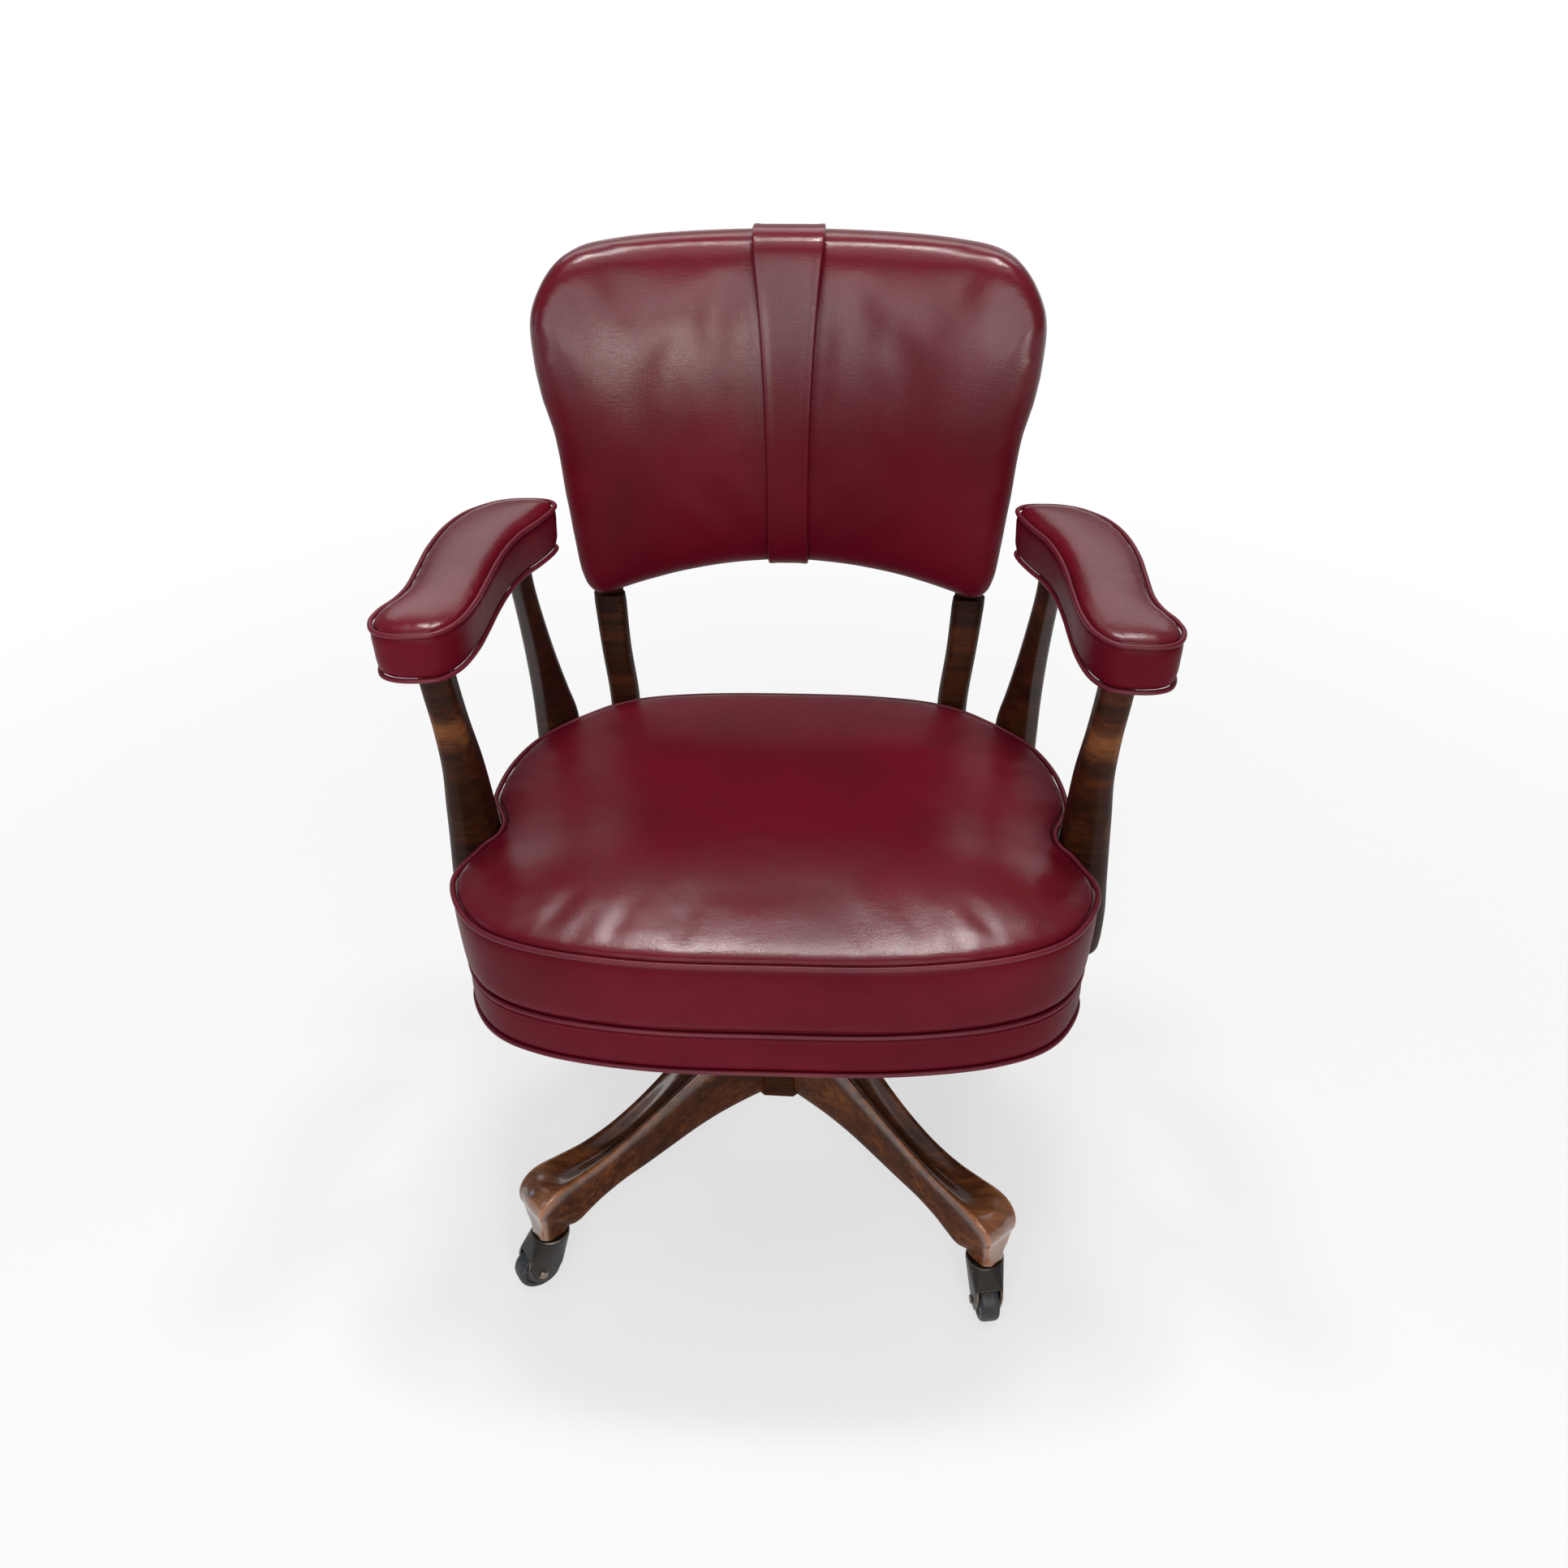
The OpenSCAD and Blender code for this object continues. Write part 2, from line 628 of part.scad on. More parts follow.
module leg_dowels() {
    color(plywood)
        for (a = leg_angle, z = leg_dowel_z)
            rotate([0, 0, a])
                translate([sleeve_r + 4, 0, z])
                    rotate([0, 90, 0])
                        cylinder(r = dowel_r, h = hub_half + 10, $fn = 32);
}

key_w = 4;
key_depth = 2.4;
module hub_sleeve() {
    color(steel)
        difference() {
            union() {
                translate([0, 0, hub_z + 2])
                    cylinder(r = sleeve_r, h = hub_h - 1, $fn = 64);
                translate([0, 0, hub_top])
                    cylinder(r = flange_r, h = flange_t, $fn = 64);
            }
            difference() {
                translate([0, 0, hub_z + 1])
                    cylinder(r = spindle_r + run_gap, h = hub_h + flange_t, $fn = 64);
                translate([spindle_r - key_depth + 0.3, -key_w / 2, hub_z])
                    cube([key_depth + 4, key_w, hub_h + flange_t + 2]);
            }
            for (a = [0 : 90 : 270])
                rotate([0, 0, a])
                    translate([24, 0, hub_top - 1])
                        cylinder(r = 2.6, h = flange_t + 2, $fn = 24);
        }
}

module flange_screws() {
    color(dark_steel)
        for (a = [0 : 90 : 270])
            rotate([0, 0, a])
                translate([24, 0, hub_top - 14]) {
                    cylinder(r = 1.9, h = 14 + flange_t, $fn = 20);
                    translate([0, 0, 14 + flange_t - 3.6])
                        cylinder(r1 = 2.5, r2 = 2.5, h = 3.6, $fn = 24);
                }
}

// Casters
module at_caster(i) {
    rotate([0, 0, leg_angle[i]])
        translate([caster_reach, 0, 0])
            rotate([0, 0, caster_turn[i] - leg_angle[i]])
                children();
}

module caster_sockets() {
    color(steel)
        for (i = [0 : 3])
            at_caster(i)
                difference() {
                    union() {
                        translate([0, 0, leg_foot_z - socket_flange_t])
                            cylinder(r = 10, h = socket_flange_t, $fn = 32);
                        translate([0, 0, leg_foot_z - 0.5])
                            cylinder(r = stem_r + run_gap + socket_wall, h = stem_len + 2,
                                $fn = 32);
                    }
                    translate([0, 0, leg_foot_z - socket_flange_t - 1])
                        cylinder(r = stem_r + run_gap, h = stem_len + 2, $fn = 32);
                }
}

// Lies along the wheel's axle, with its middle on the wheel
module on_axle(length) {
    translate([caster_trail, 0, axle_z])
        rotate([90, 0, 0])
            translate([0, 0, -length / 2])
                children();
}

module caster_horn(i) {
    hood_r = wheel_d / 2 - 3.5;
    color(dark_steel)
        at_caster(i) {
            difference() {
                hull() {
                    translate([0, 0, horn_top - 4])
                        cylinder(r = horn_disc_r, h = 4, $fn = 32);
                    translate([caster_trail * 0.75, 0, axle_z + 10])
                        rotate([90, 0, 0])
                            translate([0, 0, -cheek_half])
                                cylinder(r = hood_r, h = 2 * cheek_half, $fn = 32);
                    on_axle(2 * cheek_half)
                        cylinder(r = 10.5, h = 2 * cheek_half, $fn = 32);
                }
                on_axle(wheel_w + 1.2)
                    cylinder(r = wheel_d / 2 + 1.5, h = wheel_w + 1.2, $fn = 64);
                on_axle(4 * wheel_w)
                    cylinder(r = axle_r + run_gap, h = 4 * wheel_w, $fn = 32);
            }
            translate([0, 0, horn_top - 2])
                cylinder(r = stem_r, h = stem_len, $fn = 32);
        }
}

module caster_axle(i) {
    color(steel)
        at_caster(i) {
            on_axle(2 * cheek_half + 2 * axle_head)
                cylinder(r = axle_r, h = 2 * cheek_half + 2 * axle_head, $fn = 32);
            for (s = [0, 1])
                mirror([0, s, 0])
                    translate([caster_trail, -cheek_half - axle_head, axle_z])
                        rotate([90, 0, 0])
                            cylinder(r1 = 4.6, r2 = 3.4, h = 1.4, $fn = 32);
        }
}

module caster_wheel(i) {
    bore = axle_r + run_gap;
    rim = wheel_d / 2;
    half = wheel_w / 2;
    color([0.06, 0.06, 0.065])
        at_caster(i)
            on_axle(0)
                rotate_extrude($fn = 64)
                    polygon([
                        [bore, -half], [7.5, -half], [8.5, 2 - half], [rim - 6, 2.4 - half],
                        [rim - 5, 0.6 - half], [rim - 2.4, 0.5 - half], [rim - 0.6, 2.4 - half],
                        [rim, 5 - half], [rim, half - 5], [rim - 0.6, half - 2.4],
                        [rim - 2.4, half - 0.5], [rim - 5, half - 0.6], [rim - 6, half - 2.4],
                        [8.5, half - 2], [7.5, half], [bore, half]
                    ]);
}

// Height adjustment
module height_handwheel() {
    lobes = 8;
    color([0.2, 0.19, 0.18])
        difference() {
            union() {
                translate([0, 0, handwheel_z])
                    cylinder(r = 23, h = handwheel_h, $fn = 64);
                translate([0, 0, handwheel_z + 3])
                    linear_extrude(handwheel_h - 8)
                        polygon([for (k = [0 : 95])
                            (handwheel_r - 2 + 2 * cos(lobes * k * 3.75))
                            * [cos(k * 3.75), sin(k * 3.75)]]);
            }
            translate([0, 0, handwheel_z - 1])
                cylinder(r = spindle_r + run_gap, h = handwheel_h + 2, $fn = 64);
        }
}

module height_spindle() {
    bottom = hub_z + 4;
    color(steel)
        difference() {
            union() {
                translate([0, 0, bottom])
                    cylinder(r = spindle_r, h = collar_z - bottom, $fn = 64);
                translate([0, 0, collar_z])
                    cylinder(r = 19, h = collar_h, $fn = 64);
                translate([0, 0, washer_z])
                    cylinder(r = swivel_r, h = pivot_z - 12.5 - washer_z, $fn = 64);
            }
            translate([spindle_r - key_depth, -key_w / 2 - 0.2, bottom - 1])
                cube([key_depth + 1, key_w + 0.4, handwheel_z - bottom + 1]);
        }
}

module thrust_washer() {
    color([0.7, 0.6, 0.35])
        translate([0, 0, washer_z])
            difference() {
                cylinder(r = 18, h = washer_t, $fn = 64);
                translate([0, 0, -1])
                    cylinder(r = swivel_r + 0.4, h = washer_t + 2, $fn = 64);
            }
}

// Tilt mechanism
housing_half = 30.5;
housing_barrel_r = 20;
stop_reach = bolt_reach + 24;
module tilt_housing() {
    color([0.22, 0.21, 0.2])
        difference() {
            union() {
                translate([0, 0, housing_z])
                    cylinder(r = housing_barrel_r, h = pivot_z - 8 - housing_z, $fn = 64);
                translate([-housing_half, 0, pivot_z])
                    rotate([0, 90, 0])
                        cylinder(r = shaft_drop - 1, h = 2 * housing_half, $fn = 64);
                translate([-18, -stop_reach, housing_arm_z])
                    cube([36, stop_reach, housing_arm_t]);
                for (x = [-18, 14.8])
                    translate([x, -stop_reach + 6, housing_arm_z - 6])
                        cube([3.2, stop_reach - 12, 7]);
                translate([-18, -stop_reach, housing_arm_z])
                    cube([36, 8, plate_z - face_gap - housing_arm_z]);
            }
            translate([0, 0, housing_z - 1])
                cylinder(r = swivel_r + run_gap, h = pivot_z - 12 - housing_z + 1, $fn = 64);
            translate([-housing_half - 1, 0, pivot_z])
                rotate([0, 90, 0])
                    cylinder(r = shaft_r + run_gap, h = 2 * housing_half + 2, $fn = 64);
            translate([0, -bolt_reach - 1.7, housing_arm_z - 10])
                cylinder(r = bolt_r + 3.2, h = 30, $fn = 48);
        }
}

ear_t = 5;
ear_x = housing_half + 0.5;
module tilt_shaft() {
    half = ear_x + ear_t + 1.5;
    color(steel) {
        translate([-half, 0, pivot_z])
            rotate([0, 90, 0])
                cylinder(r = shaft_r, h = 2 * half, $fn = 64);
        for (s = [-1, 1])
            translate([s * (ear_x + ear_t + 0.4), 0, pivot_z])
                rotate([0, s * 90, 0])
                    cylinder(r = shaft_r + 3, h = 3, $fn = 48);
    }
}

module tilt_spring() {
    sides = 6;
    per_turn = 8;
    steps = spring_turns * per_turn;
    low = spring_z + spring_wire_r + run_gap;
    rise = housing_arm_z - spring_z - 2 * spring_wire_r - run_gap;
    path = [for (k = [0 : steps])
        [spring_coil_r * cos(k * 360 / per_turn), spring_coil_r * sin(k * 360 / per_turn),
            low + rise * k / steps]];
    rings = [for (k = [0 : steps])
        let (a = k * 360 / per_turn, t = unit([-sin(a), cos(a),
                rise / steps * per_turn / (2 * PI * spring_coil_r)]),
            u = [cos(a), sin(a), 0], v = cross(t, u))
        [for (j = [0 : sides - 1])
            path[k] + spring_wire_r * (cos(j * 360 / sides) * u + sin(j * 360 / sides) * v)]];
    color([0.4, 0.4, 0.42])
        translate([0, -bolt_reach, 0])
            skin(rings);
}

module tension_bolt() {
    color(steel)
        translate([0, -bolt_reach, 0]) {
            translate([0, 0, knob_z - 3])
                cylinder(r = bolt_r, h = plate_z + plate_t - knob_z + 4, $fn = 48);
            translate([0, 0, plate_z + plate_t])
                cylinder(r = 9, h = 6, $fn = 6);
        }
}

module spring_washer() {
    color(steel)
        translate([0, -bolt_reach, knob_z + knob_h])
            difference() {
                cylinder(r = spring_coil_r + spring_wire_r + 2, h = spring_washer_t, $fn = 48);
                translate([0, 0, -1])
                    cylinder(r = bolt_r + run_gap, h = spring_washer_t + 2, $fn = 48);
            }
}

module tension_knob() {
    flutes = 10;
    color([0.1, 0.1, 0.1])
        translate([0, -bolt_reach, knob_z])
            difference() {
                union() {
                    linear_extrude(knob_h - 3)
                        polygon([for (k = [0 : 79])
                            (knob_r - 1 + cos(flutes * k * 4.5))
                            * [cos(k * 4.5), sin(k * 4.5)]]);
                    cylinder(r = 12, h = knob_h - face_gap, $fn = 48);
                }
                translate([0, 0, -1])
                    cylinder(r = bolt_r + run_gap, h = knob_h + 2, $fn = 48);
            }
}

// Seat
plate_half = bolt_reach + 31;
module seat_plate() {
    color([0.25, 0.24, 0.23])
        difference() {
            union() {
                translate([0, 0, plate_z])
                    linear_extrude(plate_t)
                        union() {
                            square([96, 2 * plate_half], center = true);
                            for (a = [45, -45])
                                rotate(a)
                                    square([2 * sqrt(2) * plate_screw + 26, 34], center = true);
                        }
                for (s = [0, 1])
                    mirror([s, 0, 0])
                        translate([ear_x, 0, pivot_z])
                            rotate([0, 90, 0]) {
                                cylinder(r = shaft_r + 6, h = ear_t, $fn = 48);
                                translate([-shaft_drop - 1, -shaft_r - 6, 0])
                                    cube([shaft_drop + 1, 2 * shaft_r + 12, ear_t]);
                            }
            }
            translate([-60, 0, pivot_z])
                rotate([0, 90, 0])
                    cylinder(r = shaft_r + run_gap, h = 120, $fn = 64);
            translate([0, -bolt_reach, plate_z - 1])
                cylinder(r = bolt_r + glue_gap, h = plate_t + 2, $fn = 48);
            for (x = [-1, 1], y = [-1, 1])
                translate([x * plate_screw, y * plate_screw, plate_z - 1])
                    cylinder(r = 2.8, h = plate_t + 2, $fn = 24);
        }
}

module plate_screws() {
    color(steel)
        for (x = [-1, 1], y = [-1, 1])
            translate([x * plate_screw, y * plate_screw, plate_z - 3]) {
                cylinder(r = 5.5, h = 3, $fn = 24);
                cylinder(r = 2.4, h = plate_t + cover_t + 17, $fn = 24);
            }
}

module dust_cover() {
    color(black_cloth)
        translate([0, 0, frame_z - cover_t])
            linear_extrude(cover_t)
                difference() {
                    polygon(inset(seat_outline, band_inset + band_wall + 3));
                    translate([0, -bolt_reach])
                        circle(r = 13, $fn = 48);
                    for (x = [-1, 1], y = [-1, 1])
                        translate([x * plate_screw, y * plate_screw])
                            circle(r = 2.8, $fn = 24);
                }
}

cross_rail_w = 40;
module seat_frame() {
    outer = inset(seat_outline, band_inset + band_wall + face_gap);
    rail_share = frame_rail / seat_front;
    color(plywood)
        difference() {
            union() {
                translate([0, 0, frame_z])
                    linear_extrude(lower_band_h - deck_t)
                        difference() {
                            polygon(outer);
                            polygon(shrink(outer, seat_centre, 1 - rail_share));
                        }
                translate([0, 0, frame_z])
                    linear_extrude(18)
                        intersection() {
                            polygon(shrink(outer, seat_centre, 1 - rail_share / 2));
                            for (x = [-plate_screw, plate_screw])
                                translate([x - cross_rail_w / 2, -seat_front])
                                    square([cross_rail_w, seat_front + seat_back]);
                        }
            }
            for (x = [-1, 1], y = [-1, 1])
                translate([x * plate_screw, y * plate_screw, frame_z - 1])
                    cylinder(r = 2.5, h = 17, $fn = 24);
            all_bolts(post_bolt_r + glue_gap, 0, bolt_seat - 2, bolt_end);
            all_bolts(7, 0, bolt_seat - 60, bolt_seat);
        }
}

module seat_deck() {
    color(plywood)
        translate([0, 0, deck_z])
            linear_extrude(deck_t)
                polygon(inset(seat_outline, band_inset + band_wall + face_gap));
}

// A vinyl band round the seat frame, with a slight swell between its edges
module seat_lower_band() {
    low = frame_z + thin_welt_r + face_gap;
    high = frame_z + lower_band_h - thin_welt_r - face_gap;
    profile = [
        [band_inset + band_wall, low], [band_inset, low], [band_inset - 0.8, mix(low, high, 0.3)],
        [band_inset - 0.8, mix(low, high, 0.7)], [band_inset + 0.2, high],
        [band_inset + band_wall, high]
    ];
    n = len(seat_outline);
    m = len(profile);
    rings = [for (p = profile) each at_z(inset(seat_outline, p[0]), p[1])];
    color(oxblood)
        difference() {
            polyhedron(points = rings, faces = [for (f = ring_faces(n, m, true)) f],
                convexity = 8);
            all_bolts(post_bolt_r + 0.4, 0, bolt_seat, bolt_end);
        }
}

module seat_cushion() {
    top = seat_welt_z;
    groove = 2 * welt_r + 1;
    mid = mix(cushion_z, top, 0.4);
    edges = [
        [middle_inset + 3.6, cushion_z], [middle_inset + 1.4, cushion_z + 2.9],
        [middle_inset - 1.6, cushion_z + 6.2], [5.4, mid - 10], [4.4, mid + 10],
        [3.4, top - 16], [3.4, top - 4.2], [groove, top], [groove - 1.6, top + 4],
        [groove + 4, top + 0.34 * seat_crown], [groove + 15, top + 0.56 * seat_crown]
    ];
    crown = [
        [0.9, 0.68], [0.8, 0.82], [0.67, 0.91], [0.52, 0.96], [0.36, 0.985], [0.2, 1]
    ];
    inner = inset(seat_outline, groove + 7);
    color(oxblood)
        skin(concat(
            [for (e = edges) at_z(inset(seat_outline, e[0]), e[1])],
            [for (c = crown) at_z(shrink(inner, seat_centre, c[0]), top + c[1] * seat_crown)]));
}

module seat_top_welt() {
    color(oxblood_dark)
        tube_loop(at_z(inset(seat_outline, welt_r), seat_welt_z), welt_r);
}

module seat_middle_welt() {
    color(oxblood_dark)
        tube_loop(at_z(inset(seat_outline, middle_inset), frame_z + lower_band_h + 0.2),
            thin_welt_r);
}

module seat_bottom_welt() {
    color(oxblood_dark)
        tube_loop(at_z(inset(seat_outline, middle_inset), frame_z), thin_welt_r);
}

// Posts
module arm_post_front() {
    color(walnut)
        difference() {
            post(front_post_rows, front_post, 0, true);
            bolts_at(front_post, 0, post_bolt_r + glue_gap, 0, bolt_seat, bolt_end + 1);
            dowel_at_front(dowel_r + glue_gap, arm_dowel_half + 1);
        }
}

module arm_post_rear() {
    color(walnut)
        difference() {
            post(rear_post_rows, rear_post, 45, true);
            bolts_at(rear_post, 45, post_bolt_r + glue_gap, 0, bolt_seat, bolt_end + 1);
            dowel_at_rear(dowel_r + glue_gap, arm_dowel_half + 1);
        }
}

module back_post_right_side() {
    color(walnut)
        difference() {
            union() {
                post(back_post_rows, back_post, 90, false);
                in_back_frame()
                    tongue(0, 0);
            }
            bolts_at(back_post, 90, post_bolt_r + glue_gap, 0, bolt_seat, bolt_end + 1);
        }
}

module post_bolts() {
    color(steel)
        all_bolts(post_bolt_r, 6.5, bolt_seat, bolt_end);
}

// Dowels between the posts and the arm boards, upright, half in each
front_dowel_x = front_post[0] + 27.5;
front_dowel_y = front_post[1] - 23;
rear_dowel_x = rear_post[0] + 20.7;
rear_dowel_y = rear_post[1] - 11.8;
module dowel_at_front(r, half) {
    translate([front_dowel_x, front_dowel_y, arm_z - half])
        cylinder(r = r, h = 2 * half, $fn = 32);
}
module dowel_at_rear(r, half) {
    lift = (rear_dowel_y - arm_hinge_y) * tan(arm_slope);
    translate([rear_dowel_x, rear_dowel_y, arm_z + lift - half])
        cylinder(r = r, h = 2 * half, $fn = 32);
}
module arm_dowels() {
    color(plywood)
        for (s = [0, 1])
            mirror([s, 0, 0]) {
                dowel_at_front(dowel_r, arm_dowel_half - 3);
                dowel_at_rear(dowel_r, arm_dowel_half - 3);
            }
}

// Arm rests
module arm_board_space(extra) {
    translate([0, 0, arm_z - extra])
        linear_extrude(arm_board_t + 2 * extra)
            polygon(inset(arm_outline, arm_board_inset - extra));
}

module arm_board() {
    color(plywood)
        difference() {
            in_arm_frame()
                arm_board_space(0);
            dowel_at_front(dowel_r + glue_gap, arm_dowel_half + 1);
            dowel_at_rear(dowel_r + glue_gap, arm_dowel_half + 1);
        }
}

module arm_pad() {
    top = arm_z + arm_boxing;
    skirt = arm_welt_r + 0.8;
    groove = 2 * arm_welt_r + 0.9;
    color(oxblood)
        in_arm_frame()
            difference() {
                skin([
                    arm_ring(0, arm_taper + skirt + 3.4, arm_z),
                    arm_ring(0, arm_taper + skirt + 0.8, arm_z + 3.6),
                    arm_ring(0, 0.6 * arm_taper + skirt + 0.6, arm_z + 0.36 * arm_boxing),
                    arm_ring(0, skirt + 0.4, top - 9),
                    arm_ring(0, skirt - 0.2, top - 3.6),
                    arm_ring(0, groove, top),
                    arm_ring(0, groove - 1.4, top + 0.4 * arm_crown),
                    arm_ring(0.16, groove - 1, top + 0.68 * arm_crown),
                    arm_ring(0.36, groove - 1, top + 0.88 * arm_crown),
                    arm_ring(0.62, groove - 1, top + arm_crown)
                ]);
                arm_board_space(face_gap);
            }
}

module arm_welts() {
    color(oxblood_dark)
        in_arm_frame() {
            tube_loop(arm_ring(0, arm_welt_r, arm_z + arm_boxing), arm_welt_r);
            tube_loop(arm_ring(0, arm_welt_r + arm_taper, arm_z + 0.2), arm_welt_r);
        }
}

// Back rest
module back_board() {
    color(plywood)
        in_back_frame()
            back_slab(board_d, board_d + back_board_t,
                inset(back_outline, back_inset + face_gap));
}

module back_frame() {
    opening = 0.79;
    opening_half = tongue_x - tongue_w / 2 - 14;
    inner = [for (p = shrink(back_outline, back_centre, opening))
        [max(-opening_half, min(opening_half, p[0])), p[1]]];
    color(plywood)
        in_back_frame()
            difference() {
                back_slab(back_frame_d, back_frame_d + back_frame_t,
                    inset(back_outline, back_inset + face_gap));
                back_slab(back_frame_d - 5, back_frame_d + back_frame_t + 5, inner);
                both_tongues(glue_gap, 3);
            }
}

function back_ring(s, d) = [for (p = shrink(back_outline, back_centre, s))
    back_local(p[0], p[1], d)];

module back_cushion() {
    color(oxblood)
        in_back_frame()
            difference() {
                skin([for (r = concat(back_rear_rings, back_front_rings)) back_ring(r[0], r[1])]);
                back_slab(board_d - face_gap, board_d + 60, inset(back_outline, back_inset));
                both_tongues(soft_gap, soft_gap);
            }
}

// The strip's path in the middle plane, from behind the top edge over the front to below
strip_section = concat(
    [for (r = back_front_rings) if (r[0] > 0.05)
        back_centre[1] + r[0] * (back_h - back_centre[1])],
    [for (i = [len(back_front_rings) - 1 : -1 : 0])
        back_centre[1] + back_front_rings[i][0] * (back_arch - back_centre[1])]);
strip_depth = concat(
    [for (r = back_front_rings) r[1]],
    [for (i = [len(back_front_rings) - 1 : -1 : 0]) back_front_rings[i][1]]);
strip_count = len(strip_depth);
strip_points = [for (i = [0 : strip_count - 1]) [strip_depth[i], strip_section[i]]];
function strip_normal(i) =
    let (t = unit(strip_points[min(i + 1, strip_count - 1)] - strip_points[max(i - 1, 0)]))
    [t[1], -t[0]];
function strip_half(h) = let (t = max(0, min(1, (h - back_arch) / (back_h - back_arch))))
    strip_low_half + (strip_top_half - strip_low_half) * pow(t, 2.7);
function strip_ring(i) =
    let (p = strip_points[i], n = strip_normal(i), w = strip_half(p[1]),
        near = p + n * soft_gap * 2, far = p + n * (soft_gap * 2 + strip_t),
        share = [-1, -0.5, 0, 0.5, 1])
    concat([for (x = share) back_local(x * w, near[1], near[0])],
        [for (k = [4 : -1 : 0]) back_local(share[k] * (w - 0.6), far[1], far[0])]);

module back_strip() {
    color(oxblood)
        in_back_frame()
            strip_skin([for (i = [1 : strip_count - 2]) strip_ring(i)]);
}
// The strip's ends are closed by fans over their ten corners
module strip_skin(rings) {
    n = len(rings[0]);
    m = len(rings);
    last = (m - 1) * n;
    cap = [for (k = [0 : 3]) each [[k, k + 1, n - 2 - k], [k, n - 2 - k, n - 1 - k]]];
    polyhedron(
        points = [for (r = rings) each r],
        faces = concat(ring_faces(n, m, false), [for (f = cap) f],
            [for (f = cap) [f[2] + last, f[1] + last, f[0] + last]]),
        convexity = 6);
}

module back_outer_panel() {
    color(oxblood_dark)
        in_back_frame()
            back_slab(outer_panel_d, outer_panel_d + outer_panel_t,
                inset(back_outline, back_inset + thin_welt_r - 1));
}

module back_welt() {
    depth = outer_panel_d + outer_panel_t / 2 + 0.8;
    color(oxblood_dark)
        in_back_frame()
            tube_loop([for (p = inset(back_outline, 1.5)) back_local(p[0], p[1], depth)],
                thin_welt_r, up = [0, 1, 0]);
}

base_hub();
leg(0);  // leg_front_left
leg(1);  // leg_front_right
leg(2);  // leg_rear_right
leg(3);  // leg_rear_left
leg_dowels();
hub_sleeve();
flange_screws();
caster_sockets();
caster_horn(0);  // caster_horn_front_left
caster_horn(1);  // caster_horn_front_right
caster_horn(2);  // caster_horn_rear_right
caster_horn(3);  // caster_horn_rear_left
caster_axle(0);  // caster_axle_front_left
caster_axle(1);  // caster_axle_front_right
caster_axle(2);  // caster_axle_rear_right
caster_axle(3);  // caster_axle_rear_left
caster_wheel(0);  // caster_wheel_front_left
caster_wheel(1);  // caster_wheel_front_right
caster_wheel(2);  // caster_wheel_rear_right
caster_wheel(3);  // caster_wheel_rear_left
height_handwheel();
height_spindle();
thrust_washer();
tilt_housing();
tilt_shaft();
tilt_spring();
tension_bolt();
spring_washer();
tension_knob();
seat_plate();
plate_screws();
dust_cover();
seat_frame();
seat_deck();
seat_lower_band();
seat_cushion();
seat_top_welt();
seat_middle_welt();
seat_bottom_welt();
on_left() arm_post_front();  // arm_post_front_left
arm_post_front();  // arm_post_front_right
on_left() arm_post_rear();  // arm_post_rear_left
arm_post_rear();  // arm_post_rear_right
on_left() back_post_right_side();  // back_post_left
back_post_right_side();  // back_post_right
post_bolts();
arm_dowels();
on_left() arm_board();  // arm_board_left
arm_board();  // arm_board_right
on_left() arm_pad();  // arm_pad_left
arm_pad();  // arm_pad_right
on_left() arm_welts();  // arm_welts_left
arm_welts();  // arm_welts_right
back_board();
back_frame();
back_cushion();
back_strip();
back_outer_panel();
back_welt();
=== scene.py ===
"""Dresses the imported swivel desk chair: oxblood vinyl upholstery with piping, carved and
lacquered wood, hooded casters, and the screw, swivel and tilt mechanism under the seat.

All shape keys are in millimetres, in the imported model's frame. Meshes are made in metres."""

import json
import math

import bmesh
import bpy
import numpy as np
from mathutils import Matrix, Vector, kdtree, noise


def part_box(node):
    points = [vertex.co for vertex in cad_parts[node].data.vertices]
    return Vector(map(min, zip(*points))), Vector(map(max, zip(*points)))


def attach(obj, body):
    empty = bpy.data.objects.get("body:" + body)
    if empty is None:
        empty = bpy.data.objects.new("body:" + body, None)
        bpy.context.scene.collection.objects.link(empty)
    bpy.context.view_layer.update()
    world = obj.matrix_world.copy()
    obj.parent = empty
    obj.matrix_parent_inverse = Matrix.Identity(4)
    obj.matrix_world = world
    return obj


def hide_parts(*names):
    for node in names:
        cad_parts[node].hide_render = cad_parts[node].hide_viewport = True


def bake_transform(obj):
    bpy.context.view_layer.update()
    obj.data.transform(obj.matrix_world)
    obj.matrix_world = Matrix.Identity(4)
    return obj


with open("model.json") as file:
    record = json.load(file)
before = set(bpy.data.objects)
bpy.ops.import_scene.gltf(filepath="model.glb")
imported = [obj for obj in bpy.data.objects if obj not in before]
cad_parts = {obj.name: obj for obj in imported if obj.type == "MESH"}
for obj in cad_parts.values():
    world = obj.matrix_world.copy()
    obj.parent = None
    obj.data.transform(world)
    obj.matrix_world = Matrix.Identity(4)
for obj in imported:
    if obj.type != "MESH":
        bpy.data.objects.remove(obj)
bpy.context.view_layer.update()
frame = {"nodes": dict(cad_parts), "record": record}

MM = 0.001
# points of a CAD mesh closer than this are one, and edges sharper than this are rounded
WELD, SHARP = 0.02, math.radians(30)
SIDES = {"left": -1, "right": 1}
CORNERS = ["front_left", "front_right", "rear_right", "rear_left"]


# Curves and outlines

def spline_point(a, b, c, d, t):
    """The point between b and c at share t of a smooth curve through all four."""
    return 0.5 * (2 * b + (c - a) * t + (2 * a - 5 * b + 4 * c - d) * t * t
                  + (3 * b - a - 3 * c + d) * t ** 3)


